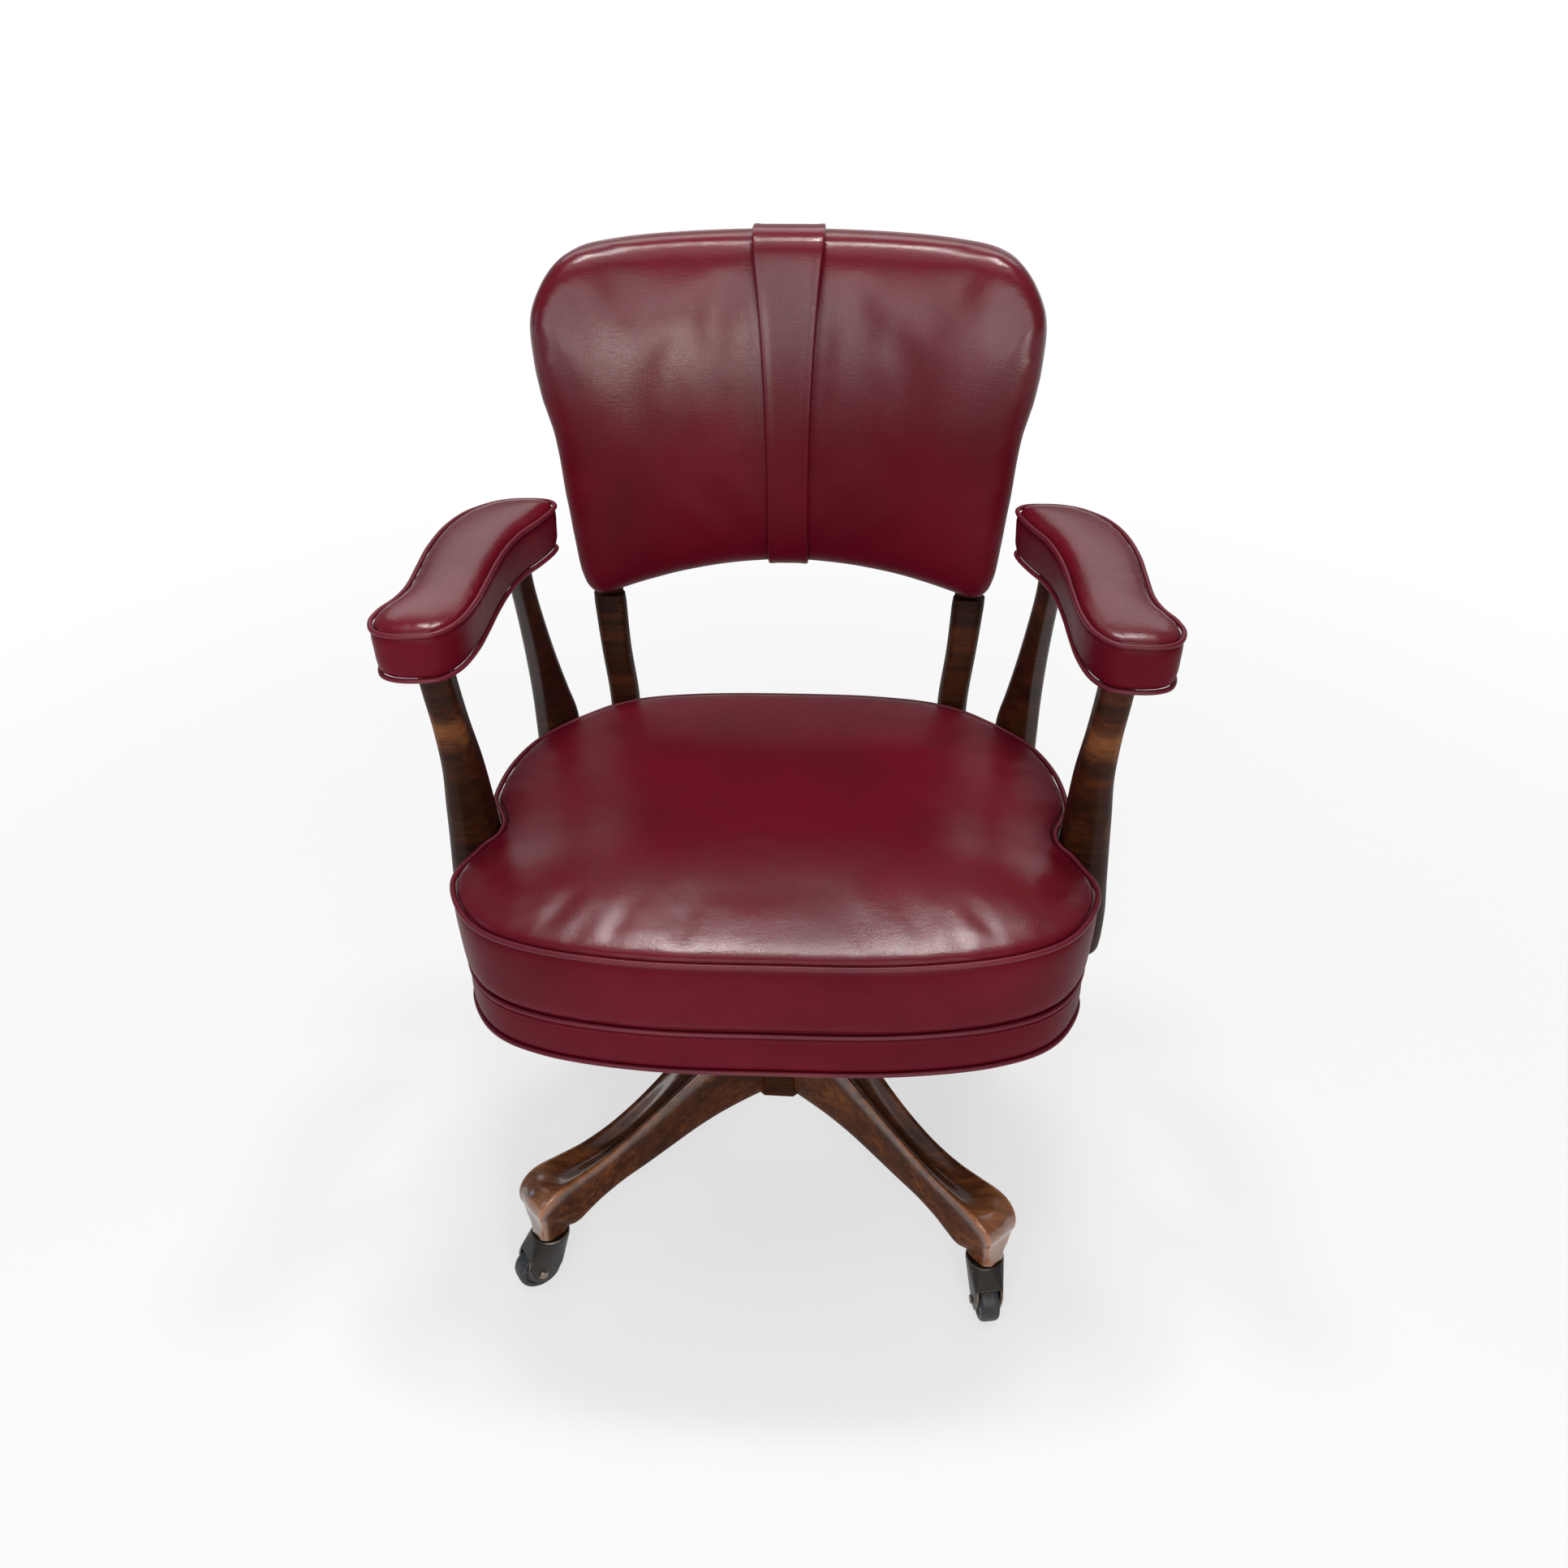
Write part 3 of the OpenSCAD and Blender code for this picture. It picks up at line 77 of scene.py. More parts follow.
def closed_curve(keys, steps):
    """A smooth closed curve through the keys."""
    k = np.array(keys, float)
    n = len(k)
    return np.array([spline_point(k[i - 1], k[i], k[(i + 1) % n], k[(i + 2) % n], s / steps)
                     for i in range(n) for s in range(steps)])


def open_curve(keys, steps):
    """A smooth open curve through the keys, or through the rows of a table."""
    k = np.array(keys, float)
    n = len(k)
    points = [spline_point(k[max(i - 1, 0)], k[i], k[i + 1], k[min(i + 2, n - 1)], s / steps)
              for i in range(n - 1) for s in range(steps)]
    return np.array(points + [k[-1]])


def even_loop(loop, count):
    """The same closed curve with evenly spaced points."""
    p = np.vstack([loop, loop[:1]])
    length = np.concatenate([[0], np.cumsum(np.linalg.norm(np.diff(p, axis=0), axis=1))])
    want = np.linspace(0, length[-1], count, endpoint=False)
    return np.stack([np.interp(want, length, p[:, i]) for i in range(p.shape[1])], 1)


def both_halves(keys):
    """Keys of a right-hand half, from the middle round to the middle, with their mirror."""
    return list(keys) + [[-x, y] for x, y in keys[-2:0:-1]]


def inset(loop, distance):
    """A counter-clockwise outline moved inwards."""
    t = np.roll(loop, -1, 0) - np.roll(loop, 1, 0)
    t = t / np.linalg.norm(t, axis=1)[:, None]
    return loop + distance * np.stack([-t[:, 1], t[:, 0]], 1)


def lift(loop, z):
    """A flat outline at a height."""
    return np.column_stack([loop, np.full(len(loop), z)])


def smooth_step(x, low, high):
    """0 below low, 1 above high, and eased between."""
    t = np.clip((np.asarray(x, float) - low) / (high - low), 0, 1)
    return t * t * (3 - 2 * t)


# Meshes

def make_mesh(name, points, faces, smooth=True):
    """A mesh object from points in millimetres."""
    mesh = bpy.data.meshes.new(name)
    mesh.from_pydata([tuple(p) for p in np.asarray(points, float) * MM], [], faces)
    mesh.update()
    piece = bpy.data.objects.new(name, mesh)
    bpy.context.scene.collection.objects.link(piece)
    if smooth:
        mesh.shade_smooth()
    return piece


def skin(name, rings, wrap=False):
    """A surface over a stack of rings that all have the same number of points, closed by a
    cap at both ends or, when it wraps, from the last ring to the first."""
    rings = [np.asarray(r, float) for r in rings]
    n, m = len(rings[0]), len(rings)
    faces = []
    for j in range(m if wrap else m - 1):
        k = (j + 1) % m
        for i in range(n):
            o = (i + 1) % n
            faces.append((j * n + i, j * n + o, k * n + o, k * n + i))
    if not wrap:
        faces.append(tuple(range(n - 1, -1, -1)))
        faces.append(tuple((m - 1) * n + i for i in range(n)))
    piece = make_mesh(name, np.vstack(rings), faces)
    outward(piece)
    return piece


def outward(piece):
    """Turns the faces of a closed mesh outwards."""
    shape = bmesh.new()
    shape.from_mesh(piece.data)
    bmesh.ops.recalc_face_normals(shape, faces=shape.faces)
    shape.to_mesh(piece.data)
    shape.free()
    piece.data.update()


def points_of(piece):
    """The piece's points, in metres."""
    co = np.empty(len(piece.data.vertices) * 3)
    piece.data.vertices.foreach_get("co", co)
    return co.reshape(-1, 3)


def set_points(piece, co):
    """Moves the piece's points, given in metres."""
    piece.data.vertices.foreach_set("co", np.ascontiguousarray(co, dtype=np.float32).ravel())
    piece.data.update()


def normals_of(piece):
    """The direction that the surface faces at each point."""
    out = np.empty(len(piece.data.vertices) * 3)
    piece.data.vertices.foreach_get("normal", out)
    return out.reshape(-1, 3)


def settle(piece):
    """Applies the piece's modifiers."""
    graph = bpy.context.evaluated_depsgraph_get()
    graph.update()
    mesh = bpy.data.meshes.new_from_object(piece.evaluated_get(graph))
    piece.modifiers.clear()
    old = piece.data
    piece.data = mesh
    bpy.data.meshes.remove(old)
    mesh.name = piece.name
    return piece


def modify(piece, kind, **settings):
    """Adds a modifier to the piece."""
    m = piece.modifiers.new(kind.lower(), kind)
    for key, value in settings.items():
        setattr(m, key, value)
    return m


def remesh(piece, voxel):
    """Makes a piece's surface again from even faces of about the voxel's size."""
    modify(piece, "REMESH", mode="VOXEL", voxel_size=voxel * MM, use_smooth_shade=True)
    return settle(piece)


def subdivide(piece):
    """Splits each face in four and rounds the surface."""
    modify(piece, "SUBSURF", levels=1, render_levels=1)
    return settle(piece)


def relax(piece, rounds):
    """Smooths a surface over a number of rounds."""
    modify(piece, "SMOOTH", iterations=rounds, factor=0.5)
    return settle(piece)


def carve(piece, *tools):
    """Cuts the tools' shapes out of the piece, and removes the tools."""
    for tool in tools:
        modify(piece, "BOOLEAN", operation="DIFFERENCE", object=tool, solver="MANIFOLD")
        settle(piece)
        bpy.data.objects.remove(tool)
    return piece


def cad_copy(node):
    """A copy of a CAD node's mesh, with its points merged and its flat faces joined."""
    piece = bpy.data.objects.new(node, frame["nodes"][node].data.copy())
    bpy.context.scene.collection.objects.link(piece)
    piece.data.materials.clear()
    shape = bmesh.new()
    shape.from_mesh(piece.data)
    bmesh.ops.remove_doubles(shape, verts=shape.verts, dist=WELD * MM)
    bmesh.ops.dissolve_limit(shape, angle_limit=math.radians(1), verts=shape.verts,
                             edges=shape.edges)
    shape.to_mesh(piece.data)
    shape.free()
    return piece


def eased(node, width, segments=2):
    """A CAD node's copy with its sharp edges rounded."""
    piece = cad_copy(node)
    modify(piece, "BEVEL", width=width * MM, segments=segments, limit_method="ANGLE",
           angle_limit=SHARP, harden_normals=True)
    settle(piece)
    piece.data.shade_smooth()
    modify(piece, "WEIGHTED_NORMAL")
    return settle(piece)


def dress(piece, body, material, slot, *nodes):
    piece.data.materials.clear()
    piece.data.materials.append(material)
    if isinstance(body, dict):
        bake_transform(piece)
    else:
        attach(piece, body)
    if nodes:
        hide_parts(*nodes)
    return piece


# Cloth and seams

def inflate(piece, pinned, pressure, cap, bending, frames=20):
    """Blows a closed cover up a little with cloth simulation. pinned is a weight for each
    point, cap the furthest that a point may move, in millimetres."""
    start = points_of(piece)
    group = piece.vertex_groups.new(name="pinned")
    for i, w in enumerate(pinned):
        if w > 0.001:
            group.add([i], float(w), "REPLACE")
    cloth = modify(piece, "CLOTH")
    # thin coated cloth that stretches little, so that the pad swells without bulging
    s = cloth.settings
    s.quality = 6
    s.mass = 0.3
    s.tension_stiffness = s.compression_stiffness = 12
    s.shear_stiffness = 6
    s.bending_stiffness = bending
    s.use_pressure = True
    s.uniform_pressure_force = pressure
    s.vertex_group_mass = "pinned"
    s.pin_stiffness = 1
    s.effector_weights.gravity = 0
    cloth.collision_settings.use_collision = False
    scene = bpy.context.scene
    for f in range(1, frames + 1):
        scene.frame_set(f)
    graph = bpy.context.evaluated_depsgraph_get()
    mesh = piece.evaluated_get(graph).to_mesh()
    end = np.empty(len(mesh.vertices) * 3)
    mesh.vertices.foreach_get("co", end)
    piece.evaluated_get(graph).to_mesh_clear()
    piece.modifiers.clear()
    piece.vertex_groups.clear()
    scene.frame_set(1)
    move = end.reshape(-1, 3) - start
    far = np.linalg.norm(move, axis=1)
    limit = cap * MM
    move *= (limit * np.tanh(far / limit) / np.maximum(far, 1e-9))[:, None]
    set_points(piece, start + move)
    return piece


def seam_distance(piece, path):
    """Each point's distance from a path, and the index of the nearest path point."""
    tree = kdtree.KDTree(len(path))
    for i, p in enumerate(path):
        tree.insert(Vector(p), i)
    tree.balance()
    found = [tree.find(Vector(p)) for p in points_of(piece) / MM]
    return np.array([d for p, i, d in found]), np.array([i for p, i, d in found])


def bed_piping(piece, path, radius, depth, width, gap=0.35, pucker=0.0, pitch=14.0, seed=0):
    """Sinks a cover's surface under a row of piping, with small puckers that run away
    from the seam. The puckers' noise is read round a circle, so that it closes on itself."""
    far, near = seam_distance(piece, path)
    co = points_of(piece) / MM
    normal = normals_of(piece)
    dent = depth * np.exp(-(far / width) ** 2)
    close = np.exp(-np.maximum(far - radius, 0) / 9.0) * (far < 60)
    count = len(path)
    radius_of_noise = count * np.linalg.norm(path[1] - path[0]) / (2 * math.pi) / pitch
    wave = np.empty(count)
    for k in range(count):
        a = 2 * math.pi * k / count
        wave[k] = noise.noise(Vector((seed * 7.3 + radius_of_noise * math.cos(a),
                                      radius_of_noise * math.sin(a), 1.7 * seed)))
    co = co + normal * (pucker * close * wave[near] - dent)[:, None]
    away = co - path[near]
    d = np.linalg.norm(away, axis=1)
    low = radius + gap
    push = d < low
    co[push] = path[near[push]] + away[push] / np.maximum(d[push], 1e-6)[:, None] * low
    set_points(piece, co * MM)
    return piece


def ruffle(piece, height, size, seed, where):
    """Moves a surface in and out along its normals by smooth noise, as far as the share
    for each point says."""
    co = points_of(piece)
    start = Vector((seed, seed * 2.3, 0))
    move = np.array([noise.fractal(Vector(p / (size * MM)) + start, 0.8, 2.0, 3) for p in co])
    set_points(piece, co + normals_of(piece) * (move * height * MM * where)[:, None])
    return piece


# Shader expressions

class Wire:
    """A shader value whose operators add Math nodes."""

    def __init__(self, finish, socket):
        self.finish, self.socket = finish, socket

    def math(self, operation, *values):
        return self.finish.node("Math", {"operation": operation}, dict(enumerate(values)))

    def __add__(self, other):
        return self.math("ADD", self, other)

    __radd__ = __add__

    def __mul__(self, other):
        return self.math("MULTIPLY", self, other)

    __rmul__ = __mul__

    def __sub__(self, other):
        return self.math("SUBTRACT", self, other)

    def __rsub__(self, other):
        return self.math("SUBTRACT", other, self)

    def ramp(self, low, high, to_low=0.0, to_high=1.0):
        """The value between two limits, eased, as a share or between two other values."""
        return self.finish.node(
            "MapRange", {"interpolation_type": "SMOOTHSTEP", "clamp": True},
            {"Value": self, "From Min": low, "From Max": high, "To Min": to_low,
             "To Max": to_high})


class Finish:
    """One material, whose nodes all come from node()."""

    def __init__(self, name):
        self.material = bpy.data.materials.new(name)
        self.material.use_nodes = True
        self.tree = self.material.node_tree
        self.tree.nodes.clear()

    def node(self, kind, settings=None, values=None, out=0):
        """Adds a node and sets it, then its sockets' values or links, and gives one output."""
        n = self.tree.nodes.new("ShaderNode" + kind)
        for key, value in (settings or {}).items():
            setattr(n, key, value)
        for key, value in (values or {}).items():
            socket = n.inputs[key]
            if isinstance(value, Wire):
                self.tree.links.new(value.socket, socket)
            else:
                socket.default_value = value
        return Wire(self, n.outputs[out])

    def place(self, scale=(1, 1, 1), turn=(0, 0, 0), move=(0, 0, 0)):
        """The spot on the object, turned by degrees, stretched and moved."""
        spot = self.node("TexCoord", out="Object")
        return self.node("Mapping", None, {"Vector": spot, "Location": move,
                                           "Rotation": [math.radians(a) for a in turn],
                                           "Scale": scale})

    def noise(self, spot, scale, detail=2.0, roughness=0.5, distortion=0.0):
        """Cloudy noise, between about 0.2 and 0.8."""
        return self.node("TexNoise", None, {"Vector": spot, "Scale": scale, "Detail": detail,
                                            "Roughness": roughness, "Distortion": distortion})

    def mix(self, share, low, high):
        """A colour between two colours."""
        def full(c):
            return c if isinstance(c, Wire) else (*c, 1)
        return self.node("Mix", {"data_type": "RGBA"}, {0: share, 6: full(low), 7: full(high)},
                         out=2)

    def bump(self, height, distance, strength, normal=None):
        """Fine relief of a depth in millimetres, on the surface or on other relief."""
        values = {"Height": height, "Distance": distance * MM, "Strength": strength}
        if normal is not None:
            values["Normal"] = normal
        return self.node("Bump", None, values)

    def shader(self, colour, roughness, normal=None, **constants):
        """The main shader. The constants are sockets' names in small letters."""
        values = {"Base Color": colour if isinstance(colour, Wire) else (*colour, 1),
                  "Roughness": roughness}
        if normal is not None:
            values["Normal"] = normal
        for key, value in constants.items():
            values[key.replace("_", " ").title().replace("Ior", "IOR")] = value
        return self.node("BsdfPrincipled", None, values)

    def close(self, shader):
        """Ends the material with a shader."""
        end = self.tree.nodes.new("ShaderNodeOutputMaterial")
        self.tree.links.new(shader.socket, end.inputs["Surface"])
        return self.material

    def surface(self, colour, roughness, normal=None, **constants):
        """Ends the material with one main shader."""
        return self.close(self.shader(colour, roughness, normal, **constants))


# Materials

def vinyl(name, deep, worn, grain, rough, dull):
    """Soft coated vinyl: fine pebbled grain, faint crinkles, rubbed and scuffed in places,
    and glossier where the polish attribute says that people have rubbed it smooth."""
    f = Finish(name)
    spot = f.place()
    pebble = f.node("TexVoronoi", {"feature": "SMOOTH_F1"},
                    {"Vector": spot, "Scale": 1150.0, "Smoothness": 0.5}, out="Distance")
    fine = f.noise(spot, 2300.0, 2.0, 0.6)
    crinkle = f.noise(f.place(scale=(0.3, 0.5, 2.4)), 190.0, 4.0, 0.62, 0.6)
    creases = f.noise(f.place(scale=(0.22, 0.3, 2.6), turn=(0, 7, 0)), 520.0, 2.0, 0.5, 0.3)
    cloudy = f.noise(spot, 5.5, 3.0, 0.55)
    patches = f.noise(f.place(move=(3.1, 1.7, 0.4)), 13.0, 3.0, 0.6)
    rubbed = cloudy.ramp(0.42, 0.68)
    specks = f.node("TexVoronoi", {"feature": "F1"},
                    {"Vector": f.place(scale=(1, 1, 0.3), turn=(15, 20, 40)),
                     "Scale": 17.0, "Randomness": 1.0}, out="Distance")
    scuff = (1 - specks.ramp(0.012, 0.03)) * patches.ramp(0.55, 0.65)
    colour = f.mix(rubbed * 0.7, deep, worn)
    colour = f.mix(patches.ramp(0.35, 0.75) * 0.35, colour, tuple(0.72 * c for c in deep))
    colour = f.mix(scuff * 0.5, colour, (0.5, 0.3, 0.28))
    roughness = rough + 0.1 * patches + 0.06 * fine - 0.07 * rubbed
    height = 0.6 * pebble + 0.3 * fine + 1.1 * crinkle + 0.4 * creases
    wide = f.bump(cloudy, 0.9, 0.12)
    normal = f.bump(height, 0.16 * grain, 0.6, wide)
    polish = f.node("Attribute", {"attribute_name": "polish"}, out="Fac")
    plain = f.shader(colour, roughness + 0.08, normal, specular_ior_level=dull)
    smooth = f.shader(colour, roughness - 0.1, normal, specular_ior_level=0.42)
    share = polish * (0.55 + 0.9 * patches)
    return f.close(f.node("MixShader", None, {0: share, 1: plain, 2: smooth}))


def lacquered_wood(name, turn=(0, 0, 0), dark=(0.019, 0.0054, 0.0026),
                   warm=(0.062, 0.0165, 0.0055), pale=(0.19, 0.066, 0.022), rough=0.26,
                   gloss=0.15):
    """Dark stained hardwood under a worn gloss lacquer. The grain runs along the turned X.
    The wear attribute says where hands and feet have rubbed it paler, and the polish
    attribute where the lacquer is still glossy."""
    f = Finish(name)
    along = f.place(scale=(0.045, 1, 1), turn=turn)
    drift = f.noise(f.place(scale=(0.3, 1, 1), turn=turn), 9.0, 2.0)
    streak = f.noise(along, 150.0, 4.0, 0.65, 0.25)
    broad = f.noise(along, 42.0, 3.0, 0.55, 0.5)
    fibre = f.noise(along, 620.0, 4.0, 0.7)
    pores = f.noise(f.place(scale=(0.03, 1, 1), turn=turn), 1400.0, 2.0, 0.6)
    blotch = f.noise(f.place(scale=(0.55, 1, 1), turn=turn), 24.0, 4.0, 0.62)
    worn = f.node("Attribute", {"attribute_name": "wear"}, out="Fac")
    tone = 0.4 * streak + 0.35 * broad + 0.3 * drift
    colour = f.mix(tone.ramp(0.42, 0.72), dark, warm)
    rub = (worn * 0.55 + blotch * 0.6 + streak * 0.36).ramp(0.62, 1.0)
    colour = f.mix(rub, colour, pale)
    colour = f.mix(fibre.ramp(0.5, 0.75) * 0.45, colour, tuple(0.4 * c for c in dark))
    colour = f.mix(pores.ramp(0.6, 0.7) * 0.55, colour, (0.008, 0.003, 0.002))
    roughness = rough + 0.12 * blotch + 0.14 * pores.ramp(0.6, 0.75) + 0.06 * rub
    grain = f.bump(fibre * 0.5 + pores * 0.5, 0.1, 0.35, f.bump(blotch, 0.8, 0.15))
    polish = f.node("Attribute", {"attribute_name": "polish"}, out="Fac")
    dull = f.shader(colour, roughness + 0.15, grain, specular_ior_level=0.05)
    lacquer = f.shader(colour, roughness, grain, coat_weight=gloss, coat_roughness=0.08,
                       specular_ior_level=gloss)
    share = polish * (0.75 + 0.5 * blotch)
    return f.close(f.node("MixShader", None, {0: share, 1: dull, 2: lacquer}))


def plain_wood(name, pale):
    """Bare wood with faint rings, whose grain runs along X."""
    f = Finish(name)
    along = f.place(scale=(0.05, 1, 1))
    rings = f.node("TexWave", {"bands_direction": "Y"},
                   {"Vector": along, "Scale": 30.0, "Distortion": 4.0, "Detail": 2.0})
    fibre = f.noise(along, 480.0, 4.0, 0.65)
    colour = f.mix(rings * 0.35 + fibre * 0.4, pale, tuple(c * 0.5 for c in pale))
    return f.surface(colour, 0.62 + 0.12 * fibre, f.bump(fibre, 0.15, 0.5))


def plywood(name, pale, dark):
    """Bare plywood: flat grain on the faces, and plies that show on the edges."""
    f = Finish(name)
    along = f.place(scale=(1, 0.06, 1))
    fibre = f.noise(along, 300.0, 4.0, 0.65)
    plies = f.node("TexWave", {"bands_direction": "Z", "wave_profile": "TRI"},
                   {"Vector": f.place(), "Scale": 130.0, "Distortion": 0.3, "Detail": 1.0})
    colour = f.mix(fibre * 0.6 + plies * 0.25, pale, dark)
    return f.surface(colour, 0.68 + 0.1 * fibre, f.bump(fibre, 0.12, 0.5))


def caster_bronze(name):
    """Blackened cast metal, rubbed to brown and bright on what stands proud."""
    f = Finish(name)
    spot = f.place()
    cast = f.noise(spot, 900.0, 4.0, 0.6)
    rub = f.noise(spot, 70.0, 4.0, 0.65)
    edge = f.node("NewGeometry", out="Pointiness").ramp(0.505, 0.56)
    worn = (edge * 0.9 + rub.ramp(0.55, 0.8) * 0.35).ramp(0.1, 0.9)
    colour = f.mix(worn, (0.022, 0.017, 0.014), (0.26, 0.2, 0.15))
    return f.surface(colour, 0.44 - 0.16 * worn + 0.12 * cast,
                     f.bump(cast, 0.08, 0.5, f.bump(rub, 0.5, 0.2)),
                     metallic=0.75, coat_weight=0.25, coat_roughness=0.25)


def plain_metal(name, base, rough):
    """Turned metal with fine tool marks and a little tarnish."""
    f = Finish(name)
    lines = f.noise(f.place(), 900.0, 3.0, 0.6)
    stain = f.noise(f.place(), 38.0, 4.0, 0.6)
    dark = tuple(c * 0.45 for c in base)
    colour = f.mix(stain.ramp(0.45, 0.8) * 0.35 + 0.15 * lines, base, dark)
    return f.surface(colour, rough + 0.15 * stain + 0.1 * lines,
                     f.bump(lines, 0.03, 0.4), metallic=1.0)


def black_enamel(name):
    """Black enamel with patches of dust and a few chips."""
    f = Finish(name)
    spot = f.place()
    peel = f.noise(spot, 420.0, 2.0)
    dust = f.noise(spot, 60.0, 5.0, 0.7)
    chip = f.noise(f.place(move=(2, 5, 1)), 95.0, 3.0, 0.55).ramp(0.7, 0.73)
    colour = f.mix(dust.ramp(0.5, 0.8) * 0.4, (0.012, 0.012, 0.013), (0.07, 0.066, 0.06))
    colour = f.mix(chip * 0.8, colour, (0.19, 0.16, 0.14))
    return f.surface(colour, 0.3 + 0.25 * dust.ramp(0.4, 0.8) + 0.2 * chip,
                     f.bump(peel, 0.1, 0.35), coat_weight=0.3, coat_roughness=0.2)


def wheel_rubber(name):
    """Hard black rubber, dusty from the floor."""
    f = Finish(name)
    spot = f.place()
    dust = f.noise(spot, 120.0, 5.0, 0.7)
    grain = f.noise(spot, 1400.0, 2.0)
    colour = f.mix(dust.ramp(0.42, 0.8) * 0.6, (0.01, 0.0105, 0.012), (0.075, 0.08, 0.09))
    return f.surface(colour, 0.34 + 0.3 * dust, f.bump(grain * 0.5 + dust, 0.1, 0.5),
                     specular_ior_level=0.5)


def knob_black(name):
    """Moulded black plastic with a light dust."""
    f = Finish(name)
    dust = f.noise(f.place(), 150.0, 4.0, 0.7)
    colour = f.mix(dust.ramp(0.5, 0.8) * 0.35, (0.008, 0.008, 0.009), (0.06, 0.058, 0.055))
    return f.surface(colour, 0.2 + 0.25 * dust, f.bump(dust, 0.05, 0.4),
                     coat_weight=0.4, coat_roughness=0.1)


def dust_cloth(name):
    """Thin black cloth with a visible plain weave."""
    f = Finish(name)
    spot = f.place()
    warp = f.node("TexWave", {"bands_direction": "X"},
                  {"Vector": spot, "Scale": 330.0, "Distortion": 0.4, "Detail": 1.0})
    weft = f.node("TexWave", {"bands_direction": "Y"},
                  {"Vector": spot, "Scale": 330.0, "Distortion": 0.4, "Detail": 1.0})
    lint = f.noise(spot, 45.0, 5.0, 0.7)
    weave = warp * weft
    colour = f.mix(weave * 0.5 + lint.ramp(0.5, 0.85) * 0.35, (0.01, 0.01, 0.011),
                   (0.06, 0.058, 0.057))
    return f.surface(colour, 0.85, f.bump(warp + weft, 0.2, 0.5), sheen_weight=0.2)


OXBLOOD = vinyl("oxblood_vinyl", (0.097, 0.0022, 0.0092), (0.132, 0.0042, 0.0135),
                grain=1.0, rough=0.3, dull=0.08)
PIPING = vinyl("oxblood_piping", (0.1, 0.0036, 0.0125), (0.15, 0.009, 0.022),
               grain=0.5, rough=0.28, dull=0.3)
ALONG_POST = lacquered_wood("lacquered_wood_posts", turn=(0, 90, 0),
                            warm=(0.07, 0.018, 0.0052), gloss=0.4)
HUB_WOOD = lacquered_wood("lacquered_wood_hub", turn=(0, 90, 0))
BRONZE = caster_bronze("caster_bronze")
STEEL = plain_metal("plain_steel", (0.5, 0.5, 0.51), 0.26)
WASHER = plain_metal("washer_bronze", (0.6, 0.42, 0.2), 0.3)
ENAMEL = black_enamel("black_enamel")
RUBBER = wheel_rubber("wheel_rubber")
KNOB = knob_black("knob_black")
CLOTH = dust_cloth("dust_cloth")
FRAME_WOOD = plywood("frame_wood", (0.5, 0.33, 0.17), (0.3, 0.17, 0.075))
DOWEL_WOOD = plain_wood("dowel_wood", (0.55, 0.38, 0.2))
BY_SLOT = {
    "oxblood_vinyl": OXBLOOD, "oxblood_piping": PIPING, "lacquered_wood": ALONG_POST,
    "caster_bronze": BRONZE, "plain_steel": STEEL, "washer_bronze": WASHER,
    "black_enamel": ENAMEL, "wheel_rubber": RUBBER, "knob_black": KNOB,
    "dust_cloth": CLOTH, "frame_wood": FRAME_WOOD, "dowel_wood": DOWEL_WOOD,
}


# Piping

def piping_tree():
    """Node tree that turns a path into a round cord of piping."""
    tree = bpy.data.node_groups.new("piping", "GeometryNodeTree")
    tree.interface.new_socket("Path", in_out="INPUT", socket_type="NodeSocketGeometry")
    for label, kind, value in (("Radius", "NodeSocketFloat", 0.003),
                               ("Sides", "NodeSocketInt", 12),
                               ("Wobble", "NodeSocketFloat", 0.00015),
                               ("Seed", "NodeSocketInt", 3)):
        tree.interface.new_socket(label, in_out="INPUT", socket_type=kind).default_value = value
    tree.interface.new_socket("Finish", in_out="INPUT", socket_type="NodeSocketMaterial")
    tree.interface.new_socket("Cord", in_out="OUTPUT", socket_type="NodeSocketGeometry")
    add = tree.nodes.new
    take, give = add("NodeGroupInput"), add("NodeGroupOutput")
    circle, sweep = add("GeometryNodeCurvePrimitiveCircle"), add("GeometryNodeCurveToMesh")
    real, paint = add("GeometryNodeRealizeInstances"), add("GeometryNodeSetMaterial")
    move, spot = add("GeometryNodeSetPosition"), add("ShaderNodeTexNoise")
    scale, centre = add("ShaderNodeVectorMath"), add("ShaderNodeVectorMath")
    smooth = add("GeometryNodeSetShadeSmooth")
    spot.noise_dimensions = "4D"
    spot.inputs["Scale"].default_value = 24.0
    centre.operation, scale.operation = "SUBTRACT", "SCALE"
    centre.inputs[1].default_value = (0.5, 0.5, 0.5)
    link = tree.links.new
    link(take.outputs["Radius"], circle.inputs["Radius"])
    link(take.outputs["Sides"], circle.inputs["Resolution"])
    link(take.outputs["Seed"], spot.inputs["W"])
    link(spot.outputs["Color"], centre.inputs[0])
    link(centre.outputs[0], scale.inputs[0])
    link(take.outputs["Wobble"], scale.inputs["Scale"])
    link(take.outputs["Path"], move.inputs["Geometry"])
    link(scale.outputs[0], move.inputs["Offset"])
    link(move.outputs[0], sweep.inputs["Curve"])
    link(circle.outputs["Curve"], sweep.inputs["Profile Curve"])
    link(sweep.outputs[0], smooth.inputs["Geometry"])
    link(smooth.outputs[0], real.inputs["Geometry"])
    link(real.outputs[0], paint.inputs["Geometry"])
    link(take.outputs["Finish"], paint.inputs["Material"])
    link(paint.outputs[0], give.inputs[0])
    return tree


